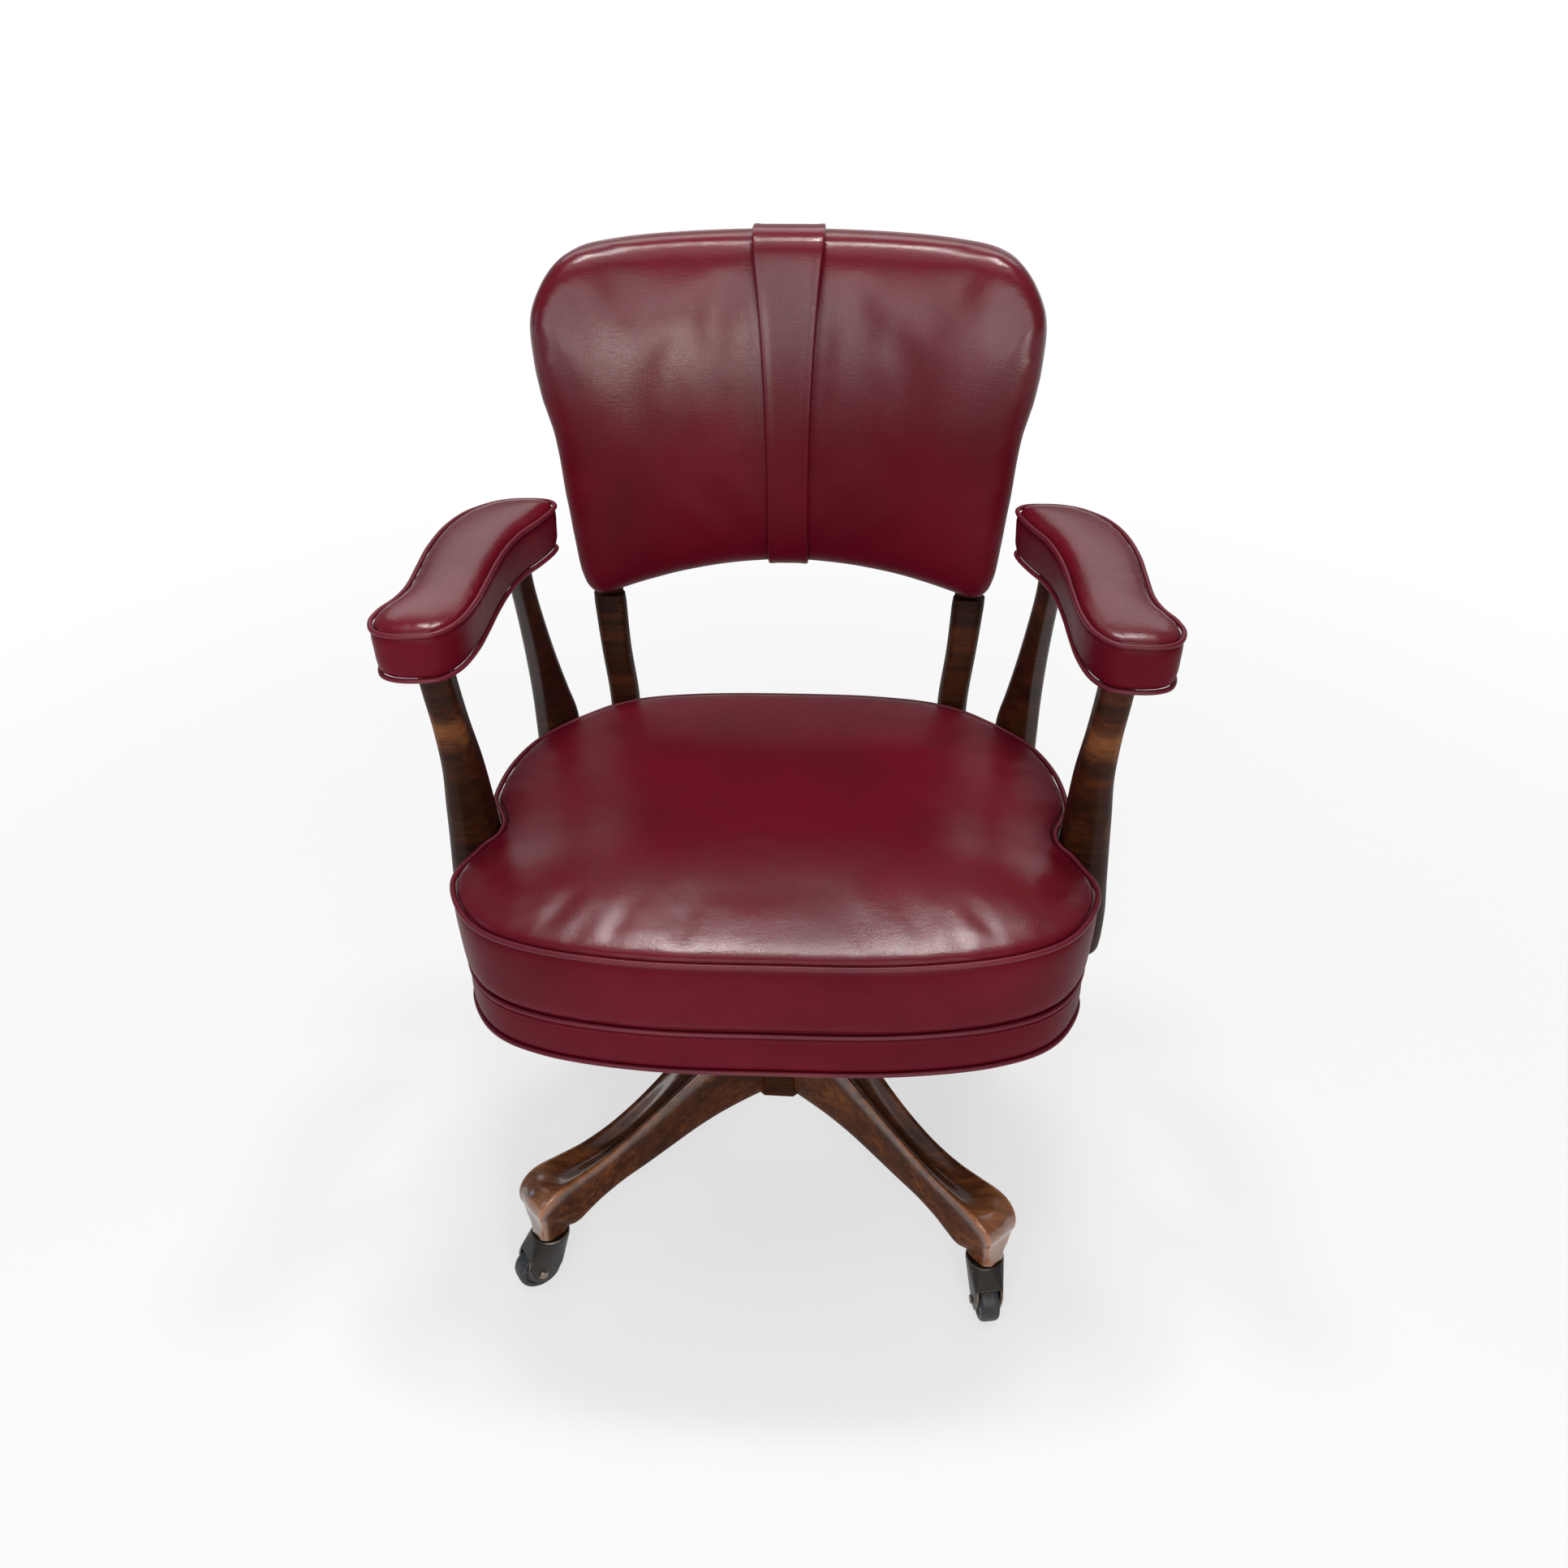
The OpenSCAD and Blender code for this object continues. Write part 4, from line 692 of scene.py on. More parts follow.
def staple_tree():
    """Node tree that sets one shape at even steps along a path, turned along it."""
    tree = bpy.data.node_groups.new("staple_row", "GeometryNodeTree")
    tree.interface.new_socket("Path", in_out="INPUT", socket_type="NodeSocketGeometry")
    for label, kind, value in (("Count", "NodeSocketInt", 40),
                               ("Wire", "NodeSocketFloat", 0.0005),
                               ("Width", "NodeSocketFloat", 0.010),
                               ("Skew", "NodeSocketFloat", 0.25),
                               ("Seed", "NodeSocketInt", 2)):
        tree.interface.new_socket(label, in_out="INPUT", socket_type=kind).default_value = value
    tree.interface.new_socket("Finish", in_out="INPUT", socket_type="NodeSocketMaterial")
    tree.interface.new_socket("Row", in_out="OUTPUT", socket_type="NodeSocketGeometry")
    add = tree.nodes.new
    take, give = add("NodeGroupInput"), add("NodeGroupOutput")
    steps, put = add("GeometryNodeCurveToPoints"), add("GeometryNodeInstanceOnPoints")
    arch = add("GeometryNodeCurvePrimitiveQuadrilateral")
    ring = add("GeometryNodeCurvePrimitiveCircle")
    sweep, spin = add("GeometryNodeCurveToMesh"), add("GeometryNodeRotateInstances")
    chance, angle = add("FunctionNodeRandomValue"), add("ShaderNodeCombineXYZ")
    low, real = add("ShaderNodeMath"), add("GeometryNodeRealizeInstances")
    along = add("ShaderNodeMath")
    paint, smooth = add("GeometryNodeSetMaterial"), add("GeometryNodeSetShadeSmooth")
    steps.mode = "COUNT"
    arch.mode = "RECTANGLE"
    arch.inputs["Height"].default_value = 0.0007
    ring.inputs["Resolution"].default_value = 6
    low.operation = "MULTIPLY"
    low.inputs[1].default_value = -1.0
    along.operation = "ADD"
    along.inputs[1].default_value = math.pi / 2
    link = tree.links.new
    link(take.outputs["Path"], steps.inputs["Curve"])
    link(take.outputs["Count"], steps.inputs["Count"])
    link(take.outputs["Width"], arch.inputs["Width"])
    link(take.outputs["Wire"], ring.inputs["Radius"])
    link(arch.outputs["Curve"], sweep.inputs["Curve"])
    link(ring.outputs["Curve"], sweep.inputs["Profile Curve"])
    link(steps.outputs["Points"], put.inputs["Points"])
    link(steps.outputs["Rotation"], put.inputs["Rotation"])
    link(sweep.outputs["Mesh"], put.inputs["Instance"])
    link(take.outputs["Skew"], low.inputs[0])
    link(low.outputs[0], chance.inputs["Min"])
    link(take.outputs["Skew"], chance.inputs["Max"])
    link(take.outputs["Seed"], chance.inputs["Seed"])
    link(chance.outputs["Value"], along.inputs[0])
    link(along.outputs[0], angle.inputs["Y"])
    link(put.outputs[0], spin.inputs["Instances"])
    link(angle.outputs[0], spin.inputs["Rotation"])
    link(spin.outputs[0], smooth.inputs["Geometry"])
    link(smooth.outputs[0], real.inputs["Geometry"])
    link(real.outputs[0], paint.inputs["Geometry"])
    link(take.outputs["Finish"], paint.inputs["Material"])
    link(paint.outputs[0], give.inputs[0])
    return tree


PIPING_TREE = piping_tree()
STAPLE_TREE = staple_tree()


def grow(piece, tree, **inputs):
    """Runs a node tree on a piece with named inputs, and returns the result as a mesh."""
    m = modify(piece, "NODES", node_group=tree)
    for item in tree.interface.items_tree:
        if item.item_type == "SOCKET" and item.in_out == "INPUT" and item.name in inputs:
            m[item.identifier] = inputs[item.name]
    graph = bpy.context.evaluated_depsgraph_get()
    graph.update()
    mesh = bpy.data.meshes.new_from_object(piece.evaluated_get(graph))
    made = bpy.data.objects.new(piece.name, mesh)
    bpy.context.scene.collection.objects.link(made)
    name = piece.name
    bpy.data.objects.remove(piece)
    made.name = name
    mesh.name = name
    return made


def path_curve(name, path):
    """A closed line through the path's points, for a node tree to work on."""
    curve = bpy.data.curves.new(name, "CURVE")
    curve.dimensions = "3D"
    line = curve.splines.new("POLY")
    line.points.add(len(path) - 1)
    line.points.foreach_set("co", np.column_stack([path * MM, np.ones(len(path))]).ravel())
    line.use_cyclic_u = True
    piece = bpy.data.objects.new(name, curve)
    bpy.context.scene.collection.objects.link(piece)
    return piece


def piping(name, path, radius, seed=3, wobble=0.3):
    """A closed row of piping along a path."""
    return grow(path_curve(name, path), PIPING_TREE, Radius=radius * MM, Sides=14,
                Wobble=wobble * MM, Seed=seed, Finish=PIPING)


# The chair's sizes

SEAT_Z, SEAT_CROWN = 406.0, 26.0
LOBE, NOTCH, REAR = 267.5, 240.5, 256.0
FRONT, BACK = 220.0, 184.0
MIDDLE_INSET, BAND_INSET = 7.6, 9.0
THIN_WELT, ARM_WELT, ARM_TAPER = 2.6, 2.9, 2.0
# the cord shows a little thinner than the room that is kept for it
PIPE, THIN_PIPE, ARM_PIPE = 2.4, 2.2, 2.1
BAND_H, BOXING = 41.5, 75.5
FRAME_Z = SEAT_Z - BOXING - BAND_H - 1
MIDDLE_SEAM_Z = FRAME_Z + BAND_H + 0.2
CUSHION_Z = FRAME_Z + BAND_H + 1.3
SEAT_KEYS = [
    [0, -FRONT], [LOBE - 166, -FRONT + 2], [LOBE - 79, -FRONT + 17], [LOBE - 26, -FRONT + 46],
    [LOBE, -120], [(NOTCH + LOBE) / 2, -73], [NOTCH + 2, -53], [NOTCH, -37],
    [NOTCH + 6.5, -19.5], [REAR - 1, 2], [REAR - 7, 54], [REAR - 27, 101], [REAR - 62, BACK - 45],
    [REAR - 105, BACK - 16], [REAR - 170, BACK - 3], [0, BACK],
]
SEAT = even_loop(closed_curve(both_halves(SEAT_KEYS), 12), 420)
SEAT_CENTRE = np.array([0.0, -10.0])
SEAM_INSET, ARM_SEAM_INSET = PIPE + 0.2, ARM_PIPE + 0.3

BACK_Y, BACK_Z, LEAN, CURVE = 200.0, 510.0, math.radians(9), 480.0
BACK_W, BACK_LOW, BACK_H, ARCH = 224.0, 190.0, 323.0, 26.0
BACK_KEYS = [
    [0, ARCH], [0.28 * BACK_LOW, ARCH - 3], [0.55 * BACK_LOW, ARCH - 10],
    [BACK_LOW - 36, ARCH - 21], [BACK_LOW - 13, -1], [BACK_LOW - 1, 9], [BACK_LOW + 4.5, 30],
    [BACK_LOW + 9, 66], [BACK_LOW + 0.42 * (BACK_W - BACK_LOW), BACK_H - 215],
    [BACK_W - 15, BACK_H - 171], [BACK_W - 5, BACK_H - 131], [BACK_W, BACK_H - 86],
    [BACK_W - 1, BACK_H - 61], [BACK_W - 17, BACK_H - 29], [BACK_W - 38, BACK_H - 13],
    [BACK_W - 73, BACK_H - 6], [BACK_W - 130, BACK_H - 2], [0, BACK_H],
]
BACK_LOOP = even_loop(closed_curve(both_halves(BACK_KEYS), 12), 400)
BACK_CENTRE = np.array([0.0, 165.0])
BOARD_D, FRAME_D, PANEL_D, PANEL_T = 26.0, 36.2, 48.8, 4.0
BACK_INSET = 4.5
BACK_CROWN = 15.0

ARM_Z, ARM_BOXING, ARM_CROWN = 580.0, 41.0, 8.0
ARM_KEYS = [
    [228, 160], [211, 158], [202, 149], [203, 134], [211, 112], [222, 88], [229, 58],
    [232, 28], [233.5, -4], [236, -38], [243, -68], [257, -87], [276, -92], [296, -91],
    [310, -83], [316, -66], [313, -48], [305, -30], [300.5, -8], [300, 28], [299.5, 62],
    [294, 100], [282, 130], [263, 150], [246, 158],
]
ARM = even_loop(closed_curve(ARM_KEYS, 12), 300)
ARM_BOARD_T, ARM_BOARD_INSET = 12.0, 9.5
ARM_SEAM_Z = ARM_Z + 0.2


def on_back(points):
    """Points given as sideways place, height and depth, on the curved, leaning back."""
    p = np.atleast_2d(np.asarray(points, float))
    y = np.sqrt((CURVE + p[:, 2]) ** 2 - p[:, 0] ** 2) - CURVE
    return np.column_stack([
        p[:, 0], BACK_Y + y * math.cos(LEAN) + p[:, 1] * math.sin(LEAN),
        BACK_Z - y * math.sin(LEAN) + p[:, 1] * math.cos(LEAN)])


def to_side(points, side):
    """Points of the right-hand half, mirrored for the left."""
    return np.asarray(points, float) * np.array([SIDES[side], 1, 1])


def set_share(piece, name, values):
    """Stores a share for each point, which the piece's finish reads by its name."""
    values = np.asarray(values, dtype=np.float32)
    piece.data.attributes.new(name, "FLOAT", "POINT").data.foreach_set("value", values)
    return piece


# Seat

def seat_cushion():
    """The padded top with its boxing: swelled by simulation, then bedded under its piping."""
    edges = [[MIDDLE_INSET + 3.6, CUSHION_Z], [MIDDLE_INSET + 0.2, CUSHION_Z + 2.4],
             [MIDDLE_INSET - 2.6, CUSHION_Z + 6], [3.6, 352], [2.4, 372], [1.7, 386],
             [1.9, SEAT_Z - 5], [3.8, SEAT_Z + 1.5], [7.6, SEAT_Z + 5.2], [15, SEAT_Z + 8.4],
             [26, SEAT_Z + 11.4]]
    rings = [lift(inset(SEAT, e), z) for e, z in open_curve(edges, 3)]
    inner = inset(SEAT, 26)
    for s, z in open_curve([[0.97, 12.1], [0.88, 14.3], [0.74, 16.4], [0.55, 18.0],
                            [0.36, 18.8], [0.18, 19.2], [0.04, 19.3]], 3):
        rings.append(lift(SEAT_CENTRE + s * (inner - SEAT_CENTRE), SEAT_Z + z))
    pad = remesh(skin("seat_cushion", rings), 4.8)
    seam = lift(inset(SEAT, SEAM_INSET), SEAT_Z)
    far = seam_distance(pad, seam)[0]
    co = points_of(pad) / MM
    side = smooth_step(-co[:, 2], -(SEAT_Z - 1), -(SEAT_Z - 14))
    pins = np.clip(np.exp(-(far / 7) ** 2) + 0.93 * side, 0, 1)
    pins = np.where(co[:, 2] < CUSHION_Z + 6, 1, pins)
    inflate(pad, pins, pressure=2.6, cap=9, bending=1.5)
    relax(pad, 8)
    subdivide(pad)
    co = points_of(pad) / MM
    top = smooth_step(co[:, 2], SEAT_Z + 2, SEAT_Z + 14)
    high = co[:, 2].max()
    co[:, 2] = np.where(co[:, 2] > SEAT_Z + 4, SEAT_Z + 4 + (co[:, 2] - SEAT_Z - 4)
                        * (SEAT_CROWN - 4) / (high - SEAT_Z - 4), co[:, 2])
    dish = np.exp(-((co[:, 0] / 150) ** 2 + ((co[:, 1] + 10) / 105) ** 2) ** 1.5)
    co[:, 2] -= 3.2 * dish * top
    set_points(pad, co * MM)
    ruffle(pad, 0.4, 75, 4.0, where=top)
    bed_piping(pad, seam, PIPE, 2.2, 4.6, pucker=0.45, pitch=13, seed=1)
    low = lift(inset(SEAT, MIDDLE_INSET), MIDDLE_SEAM_Z)
    bed_piping(pad, low, THIN_PIPE, 0.3, 3.6, pucker=0.35, pitch=17, seed=2)
    pad.data.shade_smooth()
    co = points_of(pad) / MM
    set_share(pad, "polish", smooth_step(co[:, 2], SEAT_Z + 1, SEAT_Z + 7)
              * (0.15 + 0.85 * smooth_step(-co[:, 1], 20, 120)))
    dress(pad, "seat", OXBLOOD, "oxblood_vinyl", "seat_cushion")


def seat_band():
    """The vinyl band round the frame, pulled over its edges, with a folded seam on top."""
    low, high = FRAME_Z + THIN_WELT + 0.3, FRAME_Z + BAND_H - THIN_WELT - 0.3
    steps = [[3, FRAME_Z - 0.8], [1.0, FRAME_Z - 0.8], [0.5, low - 1.2], [-0.6, low + 0.6],
             [-1.6, low + 4], [-2.2, low + 10], [-2.3, low + 17], [-2.1, high - 9],
             [-1.9, high - 5.4], [-1.5, high - 4.5], [-2.6, high - 4.0], [-2.8, high - 1.6],
             [-1.8, high - 0.4], [-0.4, high + 0.4], [1.2, high + 3.2], [1.6, high + 5.4],
             [3, high + 5.4]]
    profile = [[BAND_INSET + out, z] for out, z in steps]
    rows = open_curve(profile, 3)
    rings = []
    for e, z in rows:
        loop = lift(inset(SEAT, e), z)
        wave = np.array([noise.noise(Vector((p[0] / 26, p[1] / 26, z / 30))) for p in loop])
        ripple = 0.5 * wave * smooth_step(z, high - 12, high - 4) * (z < high - 0.2)
        loop[:, 2] += ripple
        rings.append(loop)
    band = skin("seat_lower_band", rings, wrap=True)
    dress(band, "seat", OXBLOOD, "oxblood_vinyl", "seat_lower_band")


def seat_piping():
    """The three rows of piping round the seat."""
    for name, edge, z, radius, seed in (
            ("seat_top_welt", SEAM_INSET, SEAT_Z, PIPE, 3),
            ("seat_middle_welt", MIDDLE_INSET, MIDDLE_SEAM_Z, THIN_PIPE, 5),
            ("seat_bottom_welt", MIDDLE_INSET, FRAME_Z, THIN_PIPE, 8)):
        cord = piping(name, lift(inset(SEAT, edge), z), radius, seed)
        dress(cord, "seat", PIPING, "oxblood_piping", name)


# Arm rests

def arm_spine():
    """For each point of the arm rest's outline, its partner on a short middle line."""
    raw = closed_curve(ARM_KEYS, 12)
    half = (raw + raw[(-np.arange(len(raw))) % len(raw)]) / 2
    short = ARM_MIDDLE + 0.72 * (half - ARM_MIDDLE)
    nearest = np.argmin(np.linalg.norm(ARM[:, None] - raw[None], axis=2), axis=1)
    line = short[nearest]
    n = len(ARM)
    return np.array([line[np.arange(i - 6, i + 7) % n].mean(0) for i in range(n)])


ARM_MIDDLE = np.array([264.0, 30.0])
ARM_SPINE = arm_spine()


def arm_ring(share, edge, z):
    """The arm rest's outline moved inwards by an edge, drawn by a share to its middle line."""
    loop = inset(ARM, edge)
    return lift(loop + share * (ARM_SPINE - loop), z)


def arm_pad(side):
    """An arm rest's pad with its boxing, cut out for its board."""
    top = ARM_Z + ARM_BOXING
    rows = [[ARM_TAPER + ARM_WELT + 2.4, ARM_Z], [ARM_TAPER + ARM_WELT - 0.4, ARM_Z + 2.6],
            [0.7 * ARM_TAPER + 1.2, ARM_Z + 9], [0.4 * ARM_TAPER + 1.3, ARM_Z + 22],
            [1.4, top - 7], [ARM_WELT - 0.1, top - 0.5], [ARM_WELT + 1.0, top + 1.2],
            [ARM_WELT + 3.6, top + 2.8]]
    rings = [arm_ring(0, e, z) for e, z in open_curve(rows, 2)]
    for share, z in [[0.1, 3.9], [0.25, 4.8], [0.45, 5.4], [0.7, 5.8], [0.92, 5.9]]:
        rings.append(arm_ring(share, ARM_WELT + 5, top + z))
    pad = remesh(skin("arm_pad_" + side, rings), 3.4)
    seam = arm_ring(0, ARM_SEAM_INSET, top)
    far = seam_distance(pad, seam)[0]
    co = points_of(pad) / MM
    pins = np.clip(np.exp(-(far / 5) ** 2) + 0.9 * (co[:, 2] < top - 4), 0, 1)
    pins = np.where(co[:, 2] < ARM_Z + 4, 1, pins)
    inflate(pad, pins, pressure=2.0, cap=4, frames=14, bending=3.0)
    relax(pad, 5)
    subdivide(pad)
    co = points_of(pad) / MM
    high = co[:, 2].max()
    co[:, 2] = np.where(co[:, 2] > top + 1, top + 1 + (co[:, 2] - top - 1)
                        * (ARM_CROWN - 1) / (high - top - 1), co[:, 2])
    set_points(pad, co * MM)
    bed_piping(pad, seam, ARM_PIPE, 1.6, 3.8, pucker=0.5, pitch=9,
               seed=3 if side == "left" else 4)
    bed_piping(pad, arm_ring(0, ARM_SEAM_INSET + ARM_TAPER, ARM_SEAM_Z), ARM_PIPE, 0.0, 3.2,
               gap=0.1, seed=5)
    board = inset(ARM, ARM_BOARD_INSET - 0.3)
    carve(pad, skin("arm_board_space", [lift(board, ARM_Z - 6),
                                        lift(board, ARM_Z + ARM_BOARD_T + 0.3)]))
    set_points(pad, to_side(points_of(pad) / MM, side) * MM)
    outward(pad)
    pad.data.shade_smooth()
    modify(pad, "WEIGHTED_NORMAL")
    settle(pad)
    co = points_of(pad) / MM
    set_share(pad, "polish", smooth_step(co[:, 2], top - 0.5, top + 3))
    dress(pad, "seat", OXBLOOD, "oxblood_vinyl", "arm_pad_" + side)


def arm_piping(side):
    """The upper and the lower row of piping of an arm rest."""
    for row, edge, z in (("upper", ARM_SEAM_INSET, ARM_Z + ARM_BOXING),
                         ("lower", ARM_SEAM_INSET + ARM_TAPER, ARM_SEAM_Z)):
        path = to_side(arm_ring(0, edge, z), side)
        cord = piping("arm_welt_" + row + "_" + side, path, ARM_PIPE, seed=5, wobble=0.25)
        dress(cord, "seat", PIPING, "oxblood_piping", "arm_welts_" + side)


# Back rest

BACK_RINGS = [[0.985, PANEL_D - 0.6], [1, 38], [1, 22], [0.99, 12], [0.967, 4],
              [0.935, -1.5], [0.885, -5.5], [0.81, -9], [0.7, -11.7], [0.57, -13.3],
              [0.42, -14.25], [0.26, -14.8], [0.1, -15]]


def back_ring(s, d):
    """The back's outline drawn in to a share of its size, at a depth."""
    loop = BACK_CENTRE + s * (BACK_LOOP - BACK_CENTRE)
    return on_back(np.column_stack([loop, np.full(len(loop), d)]))


def strip_half(h):
    """Half the strip's width at a height, which widens towards the top."""
    return 18.5 + 13.5 * np.clip((h - ARCH) / (BACK_H - ARCH), 0, 1) ** 2.7


def back_space(name, d0, d1, edge):
    """A closed slab of the curved back between two depths, in rows across the outline that
    keep its two faces on their cylinders."""
    loop = inset(BACK_LOOP, edge)
    n = len(loop)
    rows, row = 40, 25
    layer = (rows + 1) * row
    points, faces = [], []
    for d in (d0, d1):
        for k in np.linspace(0, n // 2, rows + 1).astype(int):
            a, b = loop[k], loop[-k % n]
            for t in np.linspace(0, 1, row):
                points.append([*(a + t * (b - a)), d])
    for k in range(rows):
        for t in range(row - 1):
            i = k * row + t
            faces.append((i, i + 1, i + row + 1, i + row))
            j = i + layer
            faces.append((j, j + row, j + row + 1, j + 1))
        for t in (0, row - 1):
            i = k * row + t
            quad = (i, i + row, i + row + layer, i + layer)
            faces.append(quad if t == 0 else quad[::-1])
    piece = make_mesh(name, on_back(np.array(points)), faces, smooth=False)
    shape = bmesh.new()
    shape.from_mesh(piece.data)
    bmesh.ops.remove_doubles(shape, verts=shape.verts, dist=1e-6)
    bmesh.ops.holes_fill(shape, edges=shape.edges)
    bmesh.ops.recalc_face_normals(shape, faces=shape.faces)
    shape.to_mesh(piece.data)
    shape.free()
    return piece


def back_local_of(points):
    """Sideways place, height and depth of points near the back, in millimetres."""
    p = np.asarray(points, float)
    y, z = p[:, 1] - BACK_Y, p[:, 2] - BACK_Z
    inward = y * math.cos(LEAN) - z * math.sin(LEAN)
    height = y * math.sin(LEAN) + z * math.cos(LEAN)
    depth = np.hypot(p[:, 0], inward + CURVE) - CURVE
    return np.column_stack([p[:, 0], height, depth])


def back_cushion():
    """The padded front of the back, with a shallow bed for the strip down its middle."""
    # the pad is made a little too deep and cut off square behind, where the welt covers the cut
    deep = PANEL_D + 7
    rear = [[0.3, deep], [0.7, deep], [0.9, deep]]
    soft = [[1, deep], [1, 46]] + [[s, d if d > 4 else 4 + (d - 4) * 0.62]
                                   for s, d in BACK_RINGS[1:]]
    rings = [back_ring(s, d) for s, d in rear] + [back_ring(s, d)
                                                  for s, d in open_curve(soft, 2)]
    pad = relax(remesh(skin("back_cushion", rings), 4.6), 6)
    local = back_local_of(points_of(pad) / MM)
    pins = smooth_step(local[:, 2], 6, 22)
    inflate(pad, pins, pressure=1.5, cap=9, bending=6.0)
    relax(pad, 30)
    subdivide(pad)
    local = back_local_of(points_of(pad) / MM)
    edge = np.abs(local[:, 0]) - strip_half(local[:, 1])
    front = local[:, 2] < 6
    deepest = -np.percentile(local[front][:, 2], 0.5)
    d = local[:, 2]
    d = np.where(d < 4, 4 + (d - 4) * (BACK_CROWN + 4) / (deepest + 4), d)
    groove = 0.9 * np.exp(-(np.abs(edge + 1) / 4.0) ** 2) * front
    under = smooth_step(-edge, -1.0, 2.0)
    top_profile = np.interp(local[:, 1], PROFILE_H, PROFILE_D)
    in_strip = (under > 0) & front
    d = np.where(in_strip, np.maximum(d, d * (1 - under) + under * (top_profile + 0.5)), d)
    local[:, 2] = d + groove
    set_points(pad, on_back(local) * MM)
    ruffle(pad, 0.35, 100, 9.0, where=smooth_step(-local[:, 2], -30, -5))
    carve(pad, back_space("board_space", BOARD_D - 0.3, PANEL_D + 20, BACK_INSET),
          back_space("rear_cut", PANEL_D - 0.6, PANEL_D + 24, -14))
    outward(pad)
    pad.data.shade_smooth()
    modify(pad, "WEIGHTED_NORMAL")
    settle(pad)
    set_share(pad, "polish", smooth_step(points_of(pad)[:, 2] / MM, 640, 780))
    dress(pad, "seat", OXBLOOD, "oxblood_vinyl", "back_cushion")


PROFILE = open_curve([[BACK_CENTRE[1] + s * (BACK_H - BACK_CENTRE[1]), d]
                      for s, d in BACK_RINGS]
                     + [[BACK_CENTRE[1] + s * (ARCH - BACK_CENTRE[1]), d]
                        for s, d in BACK_RINGS[::-1]], 5)
PROFILE_H, PROFILE_D = PROFILE[PROFILE[:, 1] < 20][::-1].T


def back_strip():
    """The plain strip down the middle, with turned-under edges, wrapped over the top."""
    skip = 4
    line = PROFILE[skip:-skip]
    t = np.gradient(line, axis=0)
    t /= np.linalg.norm(t, axis=1)[:, None]
    out = np.column_stack([-t[:, 1], t[:, 0]])
    thick, lift_off, count = 2.3, 0.35, 24
    rings = []
    for p, n in zip(line, out):
        w = float(strip_half(p[0]))
        over = 1.5 * float(smooth_step(p[0], BACK_H - 30, BACK_H - 4))
        upper, lower = [], []
        for k in range(count + 1):
            a = -math.cos(math.pi * k / count)
            edge = (1 - abs(a)) * w
            round_off = math.sqrt(max(0.0, 1 - max(0.0, 1 - edge / 1.2) ** 2))
            top = lift_off + (thick + over) * (0.35 + 0.65 * round_off)
            # the turned-under edge stands a little proud of the flat middle
            top += 0.25 * math.exp(-((edge - 3.2) / 2.0) ** 2) - 0.25 * smooth_step(edge, 4, 9)
            upper.append([a * w, p[0] + n[0] * top, p[1] + n[1] * top])
            low = lift_off + thick * 0.35 * (1 - round_off)
            lower.append([a * w, p[0] + n[0] * low, p[1] + n[1] * low])
        rings.append(on_back(np.array(upper + lower[::-1])))
    strip = skin("back_strip", rings)
    set_share(strip, "polish", smooth_step(points_of(strip)[:, 2] / MM, 640, 780))
    dress(strip, "seat", OXBLOOD, "oxblood_vinyl", "back_strip")


def back_piping():
    """The piping round the rear edge, and the rear panel inside it."""
    loop = inset(BACK_LOOP, 3.3)
    depth = PANEL_D + PANEL_T / 2 + 0.8
    path = on_back(np.column_stack([loop, np.full(len(loop), depth)]))
    dress(piping("back_welt", path, THIN_PIPE, seed=6), "seat", PIPING, "oxblood_piping",
          "back_welt")
    panel = eased("back_outer_panel", 1.1, segments=3)
    dress(panel, "seat", OXBLOOD, "oxblood_vinyl", "back_outer_panel")


# Wood

POST_SECTION = [
    [-0.80, -0.66], [-0.38, -0.86], [0.25, -1], [0.72, -0.86], [1, -0.45], [1, 0.35],
    [0.80, 0.78], [0.35, 1], [-0.40, 0.95], [-0.82, 0.75], [-0.94, 0.40], [-0.94, -0.35],
]
SECTION = closed_curve(POST_SECTION, 5)
FRONT_POST = np.array([NOTCH + 1.4, -42.0])
REAR_POST = (np.array(SEAT_KEYS[11]) + np.array(SEAT_KEYS[12])) / 2 + 1.9
BACK_POST = np.array([REAR - 96, BACK - 13])
POST_TOP, POST_LOW = ARM_Z - 0.3, FRAME_Z + 3
LOW_Z = [POST_LOW, POST_LOW + 6, FRAME_Z + BAND_H + 4, SEAT_Z - 36]


def between(t):
    """A height at a share of the way from the seat to the arm rests."""
    return SEAT_Z + t * (ARM_Z - SEAT_Z)


FRONT_ROWS = [
    [LOW_Z[0], -2, 36.5, 0, 20], [LOW_Z[1], -8.2, 42.5, 0, 24], [LOW_Z[2], -8.2, 44, 0, 26],
    [LOW_Z[3], -3, 42, 0, 27], [SEAT_Z + 2, 0.5, 40, -1, 25],
    [between(0.2), 1.8, 38, -5, 22], [between(0.43), 3.3, 35, -12, 17.5],
    [between(0.66), 8, 36, -17, 15], [between(0.86), 11.2, 38.8, -21, 14],
    [POST_TOP, 13, 40.8, -23, 14],
]
REAR_ROWS = [
    [LOW_Z[0], -1, 18, 3, 17], [LOW_Z[1], -8.2, 22, 4, 21], [LOW_Z[2], -8.2, 22.5, 4.5, 22],
    [LOW_Z[3], -3, 22.5, 5, 22], [SEAT_Z + 2, 1, 23, 5, 21.5],
    [between(0.2), 1, 22, 0, 17.5], [between(0.43), -2, 19, -8, 13.5],
    [between(0.66), -3, 17, -15, 11], [between(0.86), -3, 16, -20.5, 10],
    [POST_TOP, -3, 16, -23, 10],
]
TONGUE_X, TONGUE_D = 170.0, FRAME_D + 6.2
TONGUE_FOOT = on_back([[TONGUE_X, -6, TONGUE_D]])[0]
